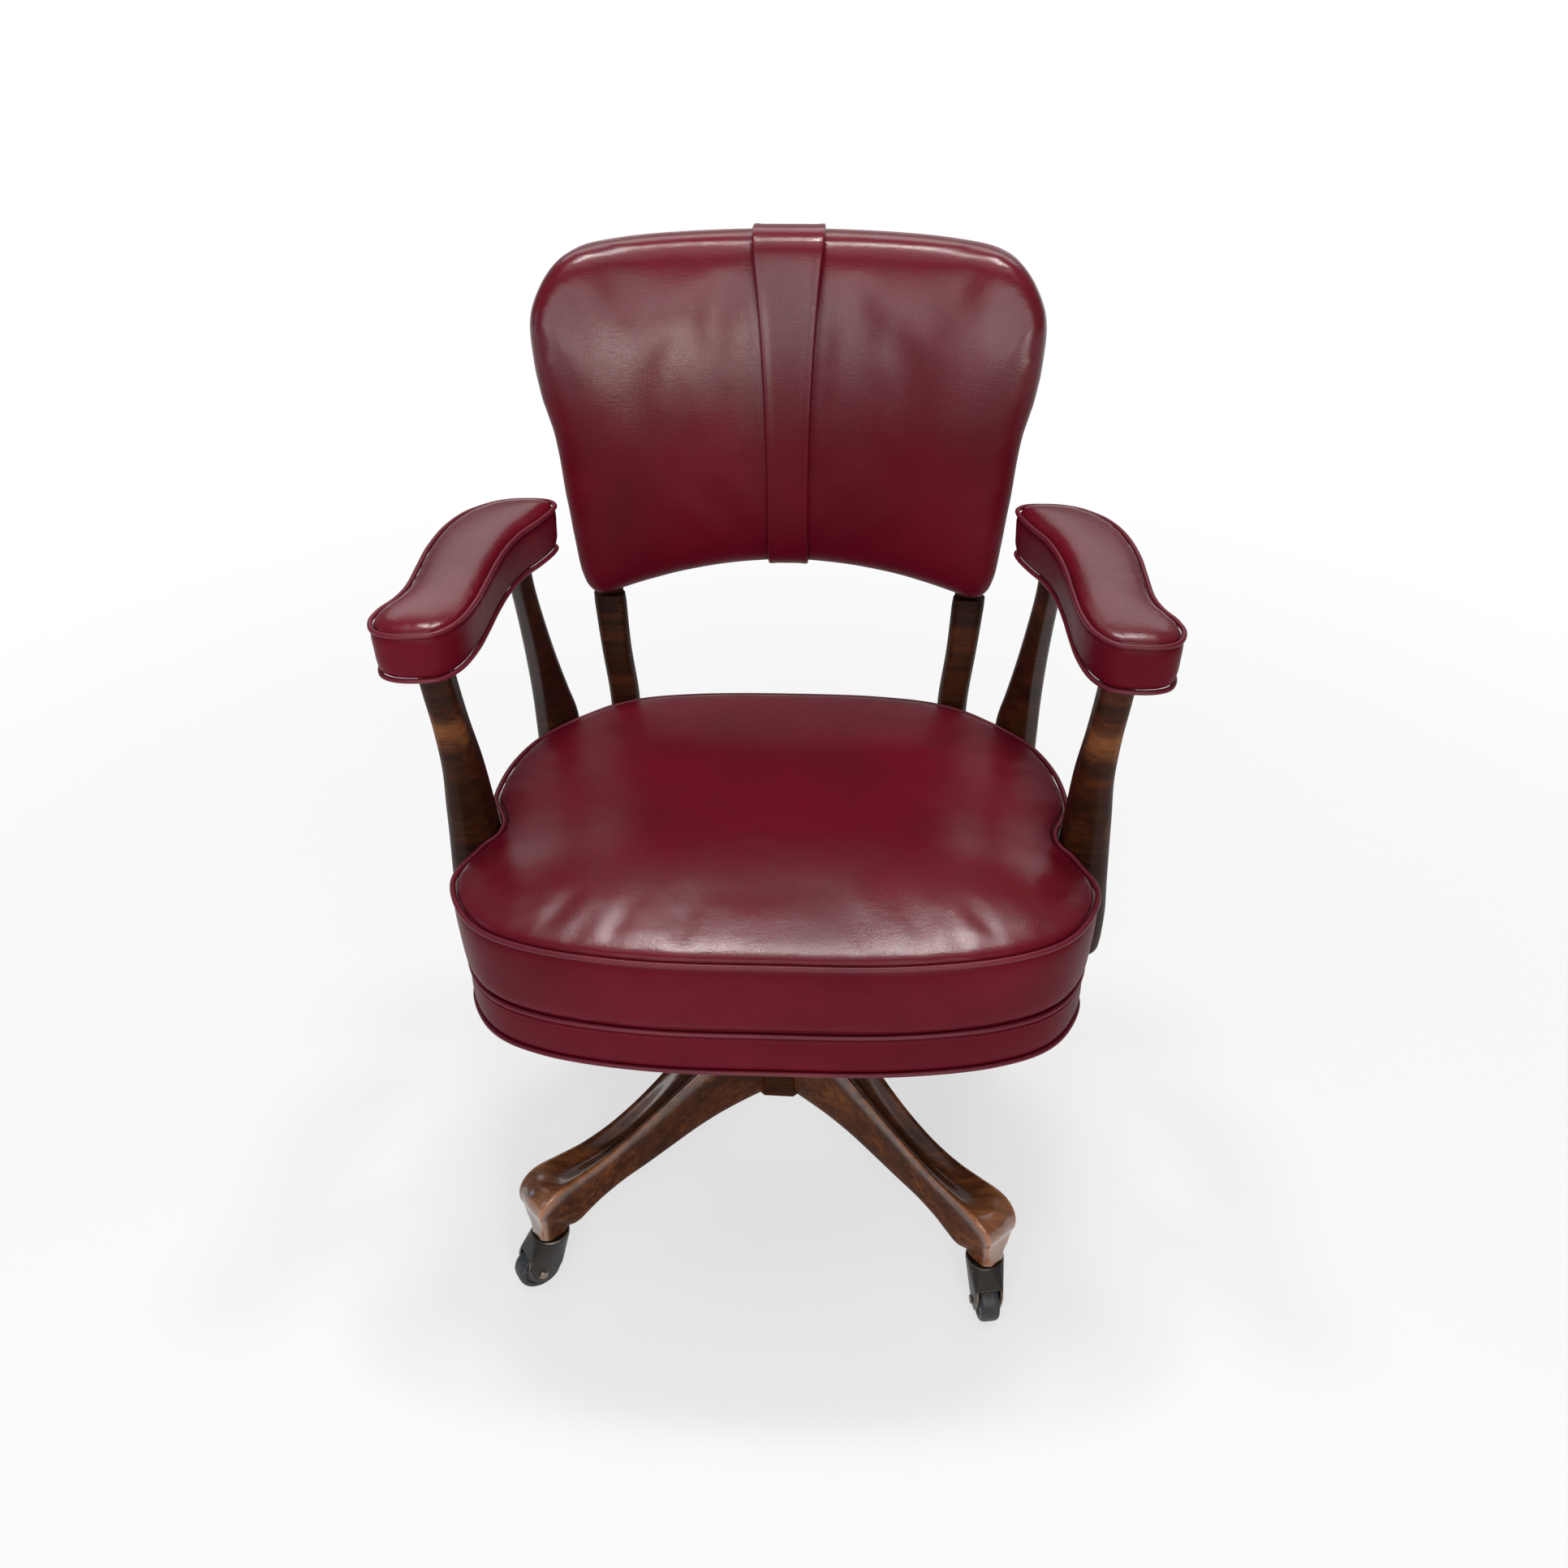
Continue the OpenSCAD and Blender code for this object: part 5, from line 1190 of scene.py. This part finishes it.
BACK_POST_ROWS = [
    [LOW_Z[0], -2, 20, 0, 11], [LOW_Z[1], -8.2, 24, 0, 13.5], [LOW_Z[2], -8.2, 25, 0, 14.3],
    [LOW_Z[3], -3, 25, 0, 14.3], [SEAT_Z + 2, 1, 25, -1.2, 14.3],
    [(SEAT_Z + TONGUE_FOOT[2]) / 2, 10, 33, -7, 14.4],
    [TONGUE_FOOT[2], TONGUE_FOOT[1] - BACK_POST[1] - 13, TONGUE_FOOT[1] - BACK_POST[1] + 5.4,
     BACK_POST[0] - TONGUE_FOOT[0] - 2.3, 15.6],
]


def post_rings(rows, foot, angle, wedge=0.0):
    """Sections up a post. The wedge is how far its outer corner reaches in to the seat's
    rounded corner."""
    c, s = math.cos(math.radians(angle)), math.sin(math.radians(angle))
    fine = open_curve(rows, 8)
    rings = []
    for k, (z, near, far, shift, half) in enumerate(fine):
        # the ends are eased over by half a millimetre so that their edges catch the light
        end = min(k, len(fine) - 1 - k)
        ease = 1 - 0.045 * max(0.0, 1 - end / 2)
        reach = wedge * (1 - smooth_step(z, FRAME_Z + BAND_H + 2, SEAT_Z - 20))
        ring = []
        for u, v in SECTION * ease:
            out = near + (far - near) * (u + 1) / 2 - reach * (1 - u) * (1 - v) / 4
            along = shift + v * half
            x = foot[0] + c * out - s * along
            y = foot[1] + s * out + c * along
            ring.append([x, y, z])
        rings.append(np.array(ring))
    return rings


def tongue(side):
    """The post's tongue in the back frame."""
    angle = math.asin(TONGUE_X / (CURVE + TONGUE_D))
    y0 = math.sqrt((CURVE + TONGUE_D) ** 2 - TONGUE_X ** 2) - CURVE
    corner = [(-10, -5.8), (10, -5.8), (10, 5.8), (-10, 5.8)]
    rings = []
    for h in (-6.0, 104.0):
        ring = []
        for a, b in corner:
            x = TONGUE_X + a * math.cos(angle) + b * math.sin(angle)
            y = y0 - a * math.sin(angle) + b * math.cos(angle)
            ring.append([x, BACK_Y + y * math.cos(LEAN) + h * math.sin(LEAN),
                         BACK_Z - y * math.sin(LEAN) + h * math.cos(LEAN)])
        rings.append(np.array(ring))
    return skin("tongue", [to_side(r, side) for r in rings])


def bell(x, middle, width):
    """1 at the middle, and falling away to both sides."""
    return np.exp(-((np.asarray(x, float) - middle) / width) ** 2)


def post_wear(rows, front):
    """Rubbed corners all the way up, and a pale place where a hand meets a front post."""
    heights = open_curve(rows, 8)[:, 0]
    t = (heights - heights[0]) / (heights[-1] - heights[0])
    u, v = SECTION.T
    corner = smooth_step(np.abs(u) * np.abs(v), 0.5, 0.8)
    wear = 0.08 + 0.42 * corner[None, :] * (0.5 + 0.5 * bell(t, 0.62, 0.3))[:, None]
    if front:
        hand = bell(t, 0.8, 0.06) * 0.62 + bell(t, 0.66, 0.16) * 0.12
        wear = wear + hand[:, None] * smooth_step(-v, -0.3, 0.6)[None, :]
    else:
        wear = wear - 0.12
    return wear.ravel()


def join(name, parts):
    """One object of several pieces' meshes."""
    shape = bmesh.new()
    for p in parts:
        shape.from_mesh(p.data)
        bpy.data.objects.remove(p)
    mesh = bpy.data.meshes.new(name)
    shape.to_mesh(mesh)
    shape.free()
    piece = bpy.data.objects.new(name, mesh)
    bpy.context.scene.collection.objects.link(piece)
    return piece


def posts():
    """The four arm posts and the two back posts."""
    for side in SIDES:
        for label, rows, foot, angle in (("front", FRONT_ROWS, FRONT_POST, 0),
                                         ("rear", REAR_ROWS, REAR_POST, 45)):
            name = "arm_post_%s_%s" % (label, side)
            post = skin(name, [to_side(r, side) for r in post_rings(rows, foot, angle)])
            set_share(post, "wear", post_wear(rows, label == "front"))
            shine = 0.12 if label == "front" else 0.6
            set_share(post, "polish", np.full(len(post.data.vertices), shine))
            dress(post, "seat", ALONG_POST, "lacquered_wood", name)
        name = "back_post_" + side
        post = skin("post", [to_side(r, side)
                             for r in post_rings(BACK_POST_ROWS, BACK_POST, 90, 12)])
        set_share(post, "wear", post_wear(BACK_POST_ROWS, False) + 0.26)
        foot_tongue = tongue(side)
        set_share(foot_tongue, "wear", np.zeros(len(foot_tongue.data.vertices)))
        whole = join(name, [post, foot_tongue])
        whole.data.shade_smooth()
        whole.data.set_sharp_from_angle(angle=math.radians(45))
        dress(whole, "seat", ALONG_POST, "lacquered_wood", name)


LEG_TURN = [a - 2 for a in (225, 315, 45, 135)]
REACH, FOOT_Z, HUB_Z = 279.0, 62.0, 88.0
LEG_W, HUB_FACE = 44.0, 28.0
HUB_HALF = LEG_W / 2 + HUB_FACE / math.sqrt(2)
LEG_ROWS = [
    [HUB_HALF, HUB_Z + 101, HUB_HALF, HUB_Z + 1, LEG_W / 2, 3],
    [70, HUB_Z + 92, 60, HUB_Z + 3, LEG_W / 2 - 1, 5],
    [100, HUB_Z + 80, 88, HUB_Z + 4, LEG_W / 2 - 3, 7],
    [132, HUB_Z + 65, 116, HUB_Z + 1.5, LEG_W / 2 - 5.5, 8.5],
    [164, HUB_Z + 52, 146, HUB_Z - 3, LEG_W / 2 - 7, 9.5],
    [196, HUB_Z + 42, 176, HUB_Z - 6, LEG_W / 2 - 7, 9.5],
    [226, HUB_Z + 37, REACH - 74, HUB_Z - 6.5, LEG_W / 2 - 5.5, 8],
    [REACH - 27, HUB_Z + 36.5, REACH - 50, HUB_Z - 8.5, LEG_W / 2 - 3, 5],
    [REACH - 7, HUB_Z + 36.5, REACH - 34, FOOT_Z + 14, LEG_W / 2 - 1, 0.5],
    [REACH + 6.5, HUB_Z + 33, REACH - 24, FOOT_Z + 9.5, LEG_W / 2 - 1, -3],
    [REACH + 15.5, HUB_Z + 25, REACH - 18.5, FOOT_Z + 7, LEG_W / 2 - 2.5, -3],
    [REACH + 18, HUB_Z + 14.5, REACH - 16.5, FOOT_Z + 5.5, LEG_W / 2 - 4.5, -1.5],
    [REACH + 15.8, HUB_Z + 5, REACH - 15.5, FOOT_Z + 4, 15.5, 0],
    [REACH + 14.8, FOOT_Z + 17, REACH - 15, FOOT_Z + 2.5, 13.6, 0],
    [REACH + 14.8, FOOT_Z, REACH - 14.8, FOOT_Z, 13.4, 0],
]
LEG_SECTION = [
    [0, 0], [0.66, 0], [0.9, 0.06], [0.94, 0.34], [0.95, 0.64], [1, 0.86], [0.97, 0.96],
    [0.86, 1], [0.6, 1], [0.3, 1], [0, 1],
]


def leg_point(row, u, v):
    """A point of a leg's section: its distance out, its place across and its height."""
    r1, z1, r0, z0, half, hollow = row
    depth = math.hypot(r1 - r0, z1 - z0)
    cove = hollow * (1 + math.cos(math.pi * min(abs(u) / 0.86, 1))) / 2
    share = v - cove * smooth_step(v, 0.9, 1.0) / depth
    # the neck's corners are rounded off towards the caster
    neck = smooth_step(-z1, -(FOOT_Z + 22), -FOOT_Z)
    long = 2 * share - 1
    round_off = 1 - neck * 0.17 * smooth_step(abs(u * long), 0.45, 0.95)
    share = (long * round_off + 1) / 2
    return r0 + (r1 - r0) * share, u * round_off * half, z0 + (z1 - z0) * share


def leg_wear(r, u, v):
    """How far a leg is rubbed: at its knuckle and along its two ridges."""
    top = smooth_step(v, 0.93, 1.0)
    knuckle = bell(r, REACH + 4, 34)
    ridge = bell(abs(u), 0.92, 0.09) * smooth_step(v, 0.8, 0.95)
    return 0.3 + 0.36 * knuckle * (0.35 + 0.65 * top) + 0.4 * ridge - 0.12 * top * (1 - knuckle)


def legs():
    """Four carved legs: a hollow between two ridges, a knuckle and a neck."""
    section = closed_curve(both_halves(LEG_SECTION), 4)
    section[:, 1] = np.minimum(section[:, 1], 1)
    rows = open_curve(LEG_ROWS, 7)
    for corner, turn in zip(CORNERS, LEG_TURN):
        name = "leg_" + corner
        c, s = math.cos(math.radians(turn)), math.sin(math.radians(turn))
        rings, wear = [], []
        for row in rows:
            ring = []
            for u, v in section:
                r, across, z = leg_point(row, u, v)
                ring.append([c * r - s * across, s * r + c * across, z])
                wear.append(leg_wear(r, u, v))
            rings.append(np.array(ring))
        leg = set_share(skin(name, rings), "wear", wear)
        set_share(leg, "polish", np.tile(smooth_step(section[:, 1], 0.75, 0.95), len(rows)))
        leg.data.set_sharp_from_angle(angle=math.radians(60))
        wood = lacquered_wood("lacquered_wood_" + name, turn=(0, 18, -turn),
                              dark=(0.036, 0.0088, 0.0028),
                              warm=(0.125, 0.033, 0.0078), pale=(0.3, 0.098, 0.025),
                              rough=0.2, gloss=0.7)
        dress(leg, "base", wood, "lacquered_wood", name)


# Casters

CASTER_TURN = [214, -81, 28, 118]
TRAIL, WHEEL_R, WHEEL_W, AXLE_R = 17.0, 20.5, 18.0, 3.0
LATHE_STEPS = 72


def caster_frame(i):
    """Matrix from a caster's own frame, trailing along +X, to the chair's."""
    a = math.radians(LEG_TURN[i])
    return (Matrix.Translation((REACH * MM * math.cos(a), REACH * MM * math.sin(a), 0))
            @ Matrix.Rotation(math.radians(CASTER_TURN[i]), 4, "Z"))


def lathe(name, profile):
    """A closed ring turned round Z from a closed profile of radius and height."""
    rings = []
    for a in np.linspace(0, 2 * math.pi, LATHE_STEPS, endpoint=False):
        rings.append(np.array([[r * math.cos(a), r * math.sin(a), z] for r, z in profile]))
    return skin(name, rings, wrap=True)


def casters():
    """Cast horns with softened edges, and turned wheels with a hub, a hollow and a tread."""
    half = WHEEL_W / 2
    tread = [[AXLE_R + 0.05, -half], [7.4, -half], [8.1, -half + 0.5], [8.6, 2 - half],
             [13.8, 2.4 - half], [14.6, 1.6 - half], [15.3, 0.7 - half], [18.2, 0.5 - half],
             [19.3, 1.3 - half], [20.0, 2.6 - half], [20.4, 4.4 - half], [20.5, 6.5 - half]]
    profile = tread + [[r, -z] for r, z in tread[::-1]]
    for i, corner in enumerate(CORNERS):
        horn = cad_copy("caster_horn_" + corner)
        remesh(horn, 0.85)
        relax(horn, 5)
        horn.data.shade_smooth()
        dress(horn, "caster_" + corner, BRONZE, "caster_bronze", "caster_horn_" + corner)
        wheel = lathe("caster_wheel_" + corner, profile)
        wheel.data.transform(caster_frame(i)
                             @ Matrix.Translation((TRAIL * MM, 0, WHEEL_R * MM))
                             @ Matrix.Rotation(math.pi / 2, 4, "X"))
        outward(wheel)
        wheel.data.set_sharp_from_angle(angle=math.radians(40))
        dress(wheel, "wheel_" + corner, RUBBER, "wheel_rubber", "caster_wheel_" + corner)


# Under the seat

BAND_WALL, BOLT_REACH, PLATE_SCREW = 3.0, 64.0, 85.0
BOLT_HOLE, SCREW_HOLE = 13.2, 3.0
COVER_EDGE = BAND_INSET + BAND_WALL + 3.4


def pillar(name, x, y, radius, z0, z1, sides):
    """A round post that a hole is cut with."""
    turn = np.linspace(0, 2 * math.pi, sides, endpoint=False)
    ring = np.column_stack([x + radius * np.cos(turn), y + radius * np.sin(turn)])
    return skin(name, [lift(ring, z0), lift(ring, z1)])


def clear_of_plate(points):
    """How far each point lies from the plate's arms and the frame's rails, in millimetres."""
    x, y = points[:, 0], points[:, 1]
    arms = np.minimum(np.abs(x - y), np.abs(x + y)) / math.sqrt(2) - 17
    arms = np.where(np.hypot(x, y) > 133, np.hypot(x, y) - 133 + np.maximum(arms, 0), arms)
    middle = np.maximum(np.abs(x) - 48, np.abs(y) - 95)
    return np.maximum(np.minimum(arms, middle), 0)


def dust_cover():
    """The thin black cloth under the seat: pulled tight, stapled round its edge, and cut
    out for the bolts."""
    outer = inset(SEAT, COVER_EDGE)
    far = np.linalg.norm(outer - SEAT_CENTRE, axis=1)
    turn = np.arange(len(outer)) / len(outer)
    shares = [1, 0.994, 0.985, 0.96, 0.92, 0.88, 0.84, 0.8, 0.76, 0.72, 0.67, 0.62, 0.56, 0.5,
              0.43, 0.36, 0.28, 0.2, 0.12, 0.05]
    above, below = [], []
    for share in shares:
        loop = SEAT_CENTRE + share * (outer - SEAT_CENTRE)
        clear = clear_of_plate(loop)
        slack = smooth_step(-(share * far - far + 50), 0, 26) * smooth_step(clear, 2, 26)
        folds = 0.25 * np.sin(2 * math.pi * 46 * turn) * bell(share, 0.93, 0.06)
        z = FRAME_Z - 0.32 - 2.4 * slack + 0.12 * folds
        above.append(np.column_stack([loop, z]))
        below.append(np.column_stack([loop, z - 0.36]))
    cover = skin("dust_cover", above[::-1] + below)
    holes = [pillar("bolt_hole", 0, -BOLT_REACH, BOLT_HOLE, FRAME_Z - 6, FRAME_Z + 2, 40)]
    for x in (-PLATE_SCREW, PLATE_SCREW):
        for y in (-PLATE_SCREW, PLATE_SCREW):
            holes.append(pillar("screw_hole", x, y, SCREW_HOLE, FRAME_Z - 6, FRAME_Z + 2, 20))
    carve(cover, *holes)
    cover.data.set_sharp_from_angle(angle=math.radians(50))
    dress(cover, "seat", CLOTH, "dust_cloth", "dust_cover")
    path = lift(inset(SEAT, COVER_EDGE + 7), FRAME_Z - 0.95)
    row = grow(path_curve("cover_staples", path), STAPLE_TREE, Count=58, Wire=0.45 * MM,
               Width=10 * MM, Skew=0.3, Seed=2, Finish=STEEL)
    dress(row, "seat", STEEL, "plain_steel")
    size = outer.max(0) - outer.min(0)
    x, y = outer.T
    area = abs(np.dot(x, np.roll(y, -1)) - np.dot(y, np.roll(x, -1))) / 2
    area -= math.pi * (BOLT_HOLE ** 2 + 4 * SCREW_HOLE ** 2)
    float(size[0] * MM)
    float(size[1] * MM)


def pedestal():
    """The hub and the plain parts of the mechanism, with their edges rounded."""
    for node, width, body, material, slot in (
            ("base_hub", 1.2, "base", HUB_WOOD, "lacquered_wood"),
            ("hub_sleeve", 0.6, "base", STEEL, "plain_steel"),
            ("height_handwheel", 1.2, "handwheel", ENAMEL, "black_enamel"),
            ("tilt_housing", 1.4, "swivel_head", ENAMEL, "black_enamel"),
            ("seat_plate", 0.8, "seat", ENAMEL, "black_enamel"),
            ("tension_knob", 1.0, "tension_knob", KNOB, "knob_black"),
            ("tension_bolt", 0.5, "seat", STEEL, "plain_steel")):
        dress(eased(node, width), body, material, slot, node)


def height_spindle():
    """The post that carries the seat, with its thread cut into it."""
    pitch, depth = 6.0, 0.9
    spindle = remesh(cad_copy("height_spindle"), 0.7)
    co = points_of(spindle) / MM
    x, y, z = co.T
    across = np.hypot(x, y)
    low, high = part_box("height_spindle")[0].z / MM + 6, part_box("height_handwheel")[1].z / MM
    turn = z / pitch + np.arctan2(y, x) / (2 * math.pi)
    cut = depth * (0.5 + 0.5 * np.cos(2 * math.pi * turn)) * smooth_step(across, 12.3, 12.8)
    cut = cut * smooth_step(z, low, low + 3) * smooth_step(-z, -high, 2 - high)
    co[:, :2] *= ((across - cut) / np.maximum(across, 1))[:, None]
    set_points(spindle, co * MM)
    spindle.data.set_sharp_from_angle(angle=math.radians(50))
    dress(spindle, "spindle", STEEL, "plain_steel", "height_spindle")


def tilt_spring():
    """The coil spring that brings the seat upright."""
    turns, coil, wire = 5.5, 12.0, 2.0
    low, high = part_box("tilt_spring")
    z0, z1 = low.z / MM + wire + 0.2, high.z / MM - wire
    y = (low.y + high.y) / 2 / MM
    count = 220
    path = np.array([[coil * math.cos(2 * math.pi * turns * t), y + coil
                      * math.sin(2 * math.pi * turns * t), z0 + (z1 - z0) * t]
                     for t in np.linspace(0, 1, count)])
    rings = []
    t = np.gradient(path, axis=0)
    for p, d in zip(path, t):
        d = d / np.linalg.norm(d)
        u = np.array([p[0], p[1] - y, 0]) / coil
        v = np.cross(d, u)
        rings.append(np.array([p + wire * (math.cos(a) * u + math.sin(a) * v)
                               for a in np.linspace(0, 2 * math.pi, 14, endpoint=False)]))
    spring = skin("tilt_spring", rings)
    # its upper end bears on the housing and its lower end on the washer, which tilts with the seat
    ends = dict(a="swivel_head", b="seat", start=(0, y * MM, high.z), end=(0, y * MM, low.z))
    dress(spring, ends, STEEL, "plain_steel", "tilt_spring")


def plain_nodes():
    """The CAD pieces that stay as they are get their materials."""
    slots = {s["node"]: s["material_slot"] for s in frame["record"]["subparts"]}
    for name, piece in frame["nodes"].items():
        material = BRONZE if name.startswith("caster_axle") else BY_SLOT[slots[name]]
        for s in piece.material_slots:
            s.material = material
        if not piece.material_slots:
            piece.data.materials.append(material)


# Stage

def stage():
    """A pale floor that keeps the chair's shadow and turns plain white further out."""
    floor = make_mesh("floor", [[-14000, -14000, 0], [14000, -14000, 0], [14000, 14000, 0],
                                [-14000, 14000, 0]], [(0, 1, 2, 3)], smooth=False)
    f = Finish("pale_floor")
    spot = f.node("TexCoord", out="Object")
    far = f.node("VectorMath", {"operation": "LENGTH"}, {0: spot}, out="Value")
    seen = f.node("LightPath", out="Is Camera Ray")
    mirrored = f.node("LightPath", out="Is Glossy Ray")
    through = f.node("LightPath", out="Is Transmission Ray")
    rays = seen.math("MAXIMUM", seen, mirrored.math("MAXIMUM", mirrored, through))
    lit = f.node("BsdfDiffuse", None, {"Color": (0.82, 0.82, 0.82, 1)})
    white = f.node("Emission", None, {"Color": (1, 1, 1, 1), "Strength": 1.0})
    share = rays * far.ramp(0.45, 1.7, 0.6, 1.0)
    floor.data.materials.append(f.close(f.node("MixShader", None, {0: share, 1: lit, 2: white})))
    world = bpy.data.worlds.new("studio")
    bpy.context.scene.world = world
    world.use_nodes = True
    glow = world.node_tree.nodes["Background"]
    glow.inputs["Color"].default_value = (0.94, 0.97, 1, 1)
    glow.inputs["Strength"].default_value = 0.22


def lamp(name, place, aim, size, power, colour):
    """A soft rectangular lamp that is turned to a point."""
    light = bpy.data.lights.new(name, "AREA")
    light.shape = "RECTANGLE"
    light.size, light.size_y = size
    light.energy = power
    light.color = colour
    piece = bpy.data.objects.new(name, light)
    bpy.context.scene.collection.objects.link(piece)
    piece.location = place
    piece.rotation_euler = (Vector(aim) - Vector(place)).to_track_quat("-Z", "Y").to_euler()


SENSOR, FOCAL_PIXELS, PHOTO_PIXELS = 36, 1934, 1932
CAMERA_ANGLES, CAMERA_PLACE = (-2.73, 34.9, -0.52), (0.0577, -1.1243, 1.2127)


def camera_and_lamps():
    """The camera that was fitted to the photo, its yaw, pitch and roll, and the lamps."""
    camera = bpy.data.cameras.new("photo_view")
    camera.sensor_width = SENSOR
    camera.lens = SENSOR * FOCAL_PIXELS / PHOTO_PIXELS
    piece = bpy.data.objects.new("photo_view", camera)
    bpy.context.scene.collection.objects.link(piece)
    yaw, pitch, roll = (math.radians(a) for a in CAMERA_ANGLES)
    ahead = Vector((math.sin(yaw) * math.cos(pitch), math.cos(yaw) * math.cos(pitch),
                    -math.sin(pitch)))
    piece.rotation_mode = "QUATERNION"
    piece.location = CAMERA_PLACE
    piece.rotation_quaternion = (ahead.to_track_quat("-Z", "Y")
                                 @ Matrix.Rotation(roll, 3, "Z").to_quaternion())
    bpy.context.scene.camera = piece
    bpy.context.scene.view_settings.view_transform = "Standard"
    back_rest = (0, 0.2, 0.75)
    seat = (0, -0.1, 0.42)
    lamp("front_softbox", (0, -2.1, 1.78), back_rest, (2.3, 0.95), 23, (1, 0.985, 0.97))
    lamp("right_hand_lamp", (0.5, -2.0, 0.86), (-0.1, 0.2, 0.75), (0.36, 0.07), 9, (1, 0.97, 0.9))
    lamp("left_hand_lamp", (-0.45, -2.0, 0.95), (0.1, 0.2, 0.75), (0.09, 0.3), 5, (0.95, 0.97, 1))
    lamp("left_ceiling_lamp", (-0.27, 0.42, 2.4), seat, (0.26, 0.2), 14, (1, 0.98, 0.96))
    lamp("right_ceiling_lamp", (0.34, 0.42, 2.4), seat, (0.26, 0.2), 14, (1, 0.98, 0.96))
    lamp("ceiling_softbox", (0, -0.3, 2.65), seat, (2.0, 1.2), 9, (1, 0.98, 0.97))
    lamp("rear_softbox", (0, 3.0, 2.5), seat, (4.0, 1.2), 26, (1, 0.99, 0.98))
    lamp("blue_window", (-2.3, -0.5, 1.0), seat, (0.7, 1.1), 5, (0.6, 0.76, 1))


plain_nodes()
seat_cushion()
seat_band()
seat_piping()
for arm_side in SIDES:
    arm_pad(arm_side)
    arm_piping(arm_side)
back_cushion()
back_strip()
back_piping()
posts()
legs()
casters()
pedestal()
dust_cover()
height_spindle()
tilt_spring()
stage()
camera_and_lamps()
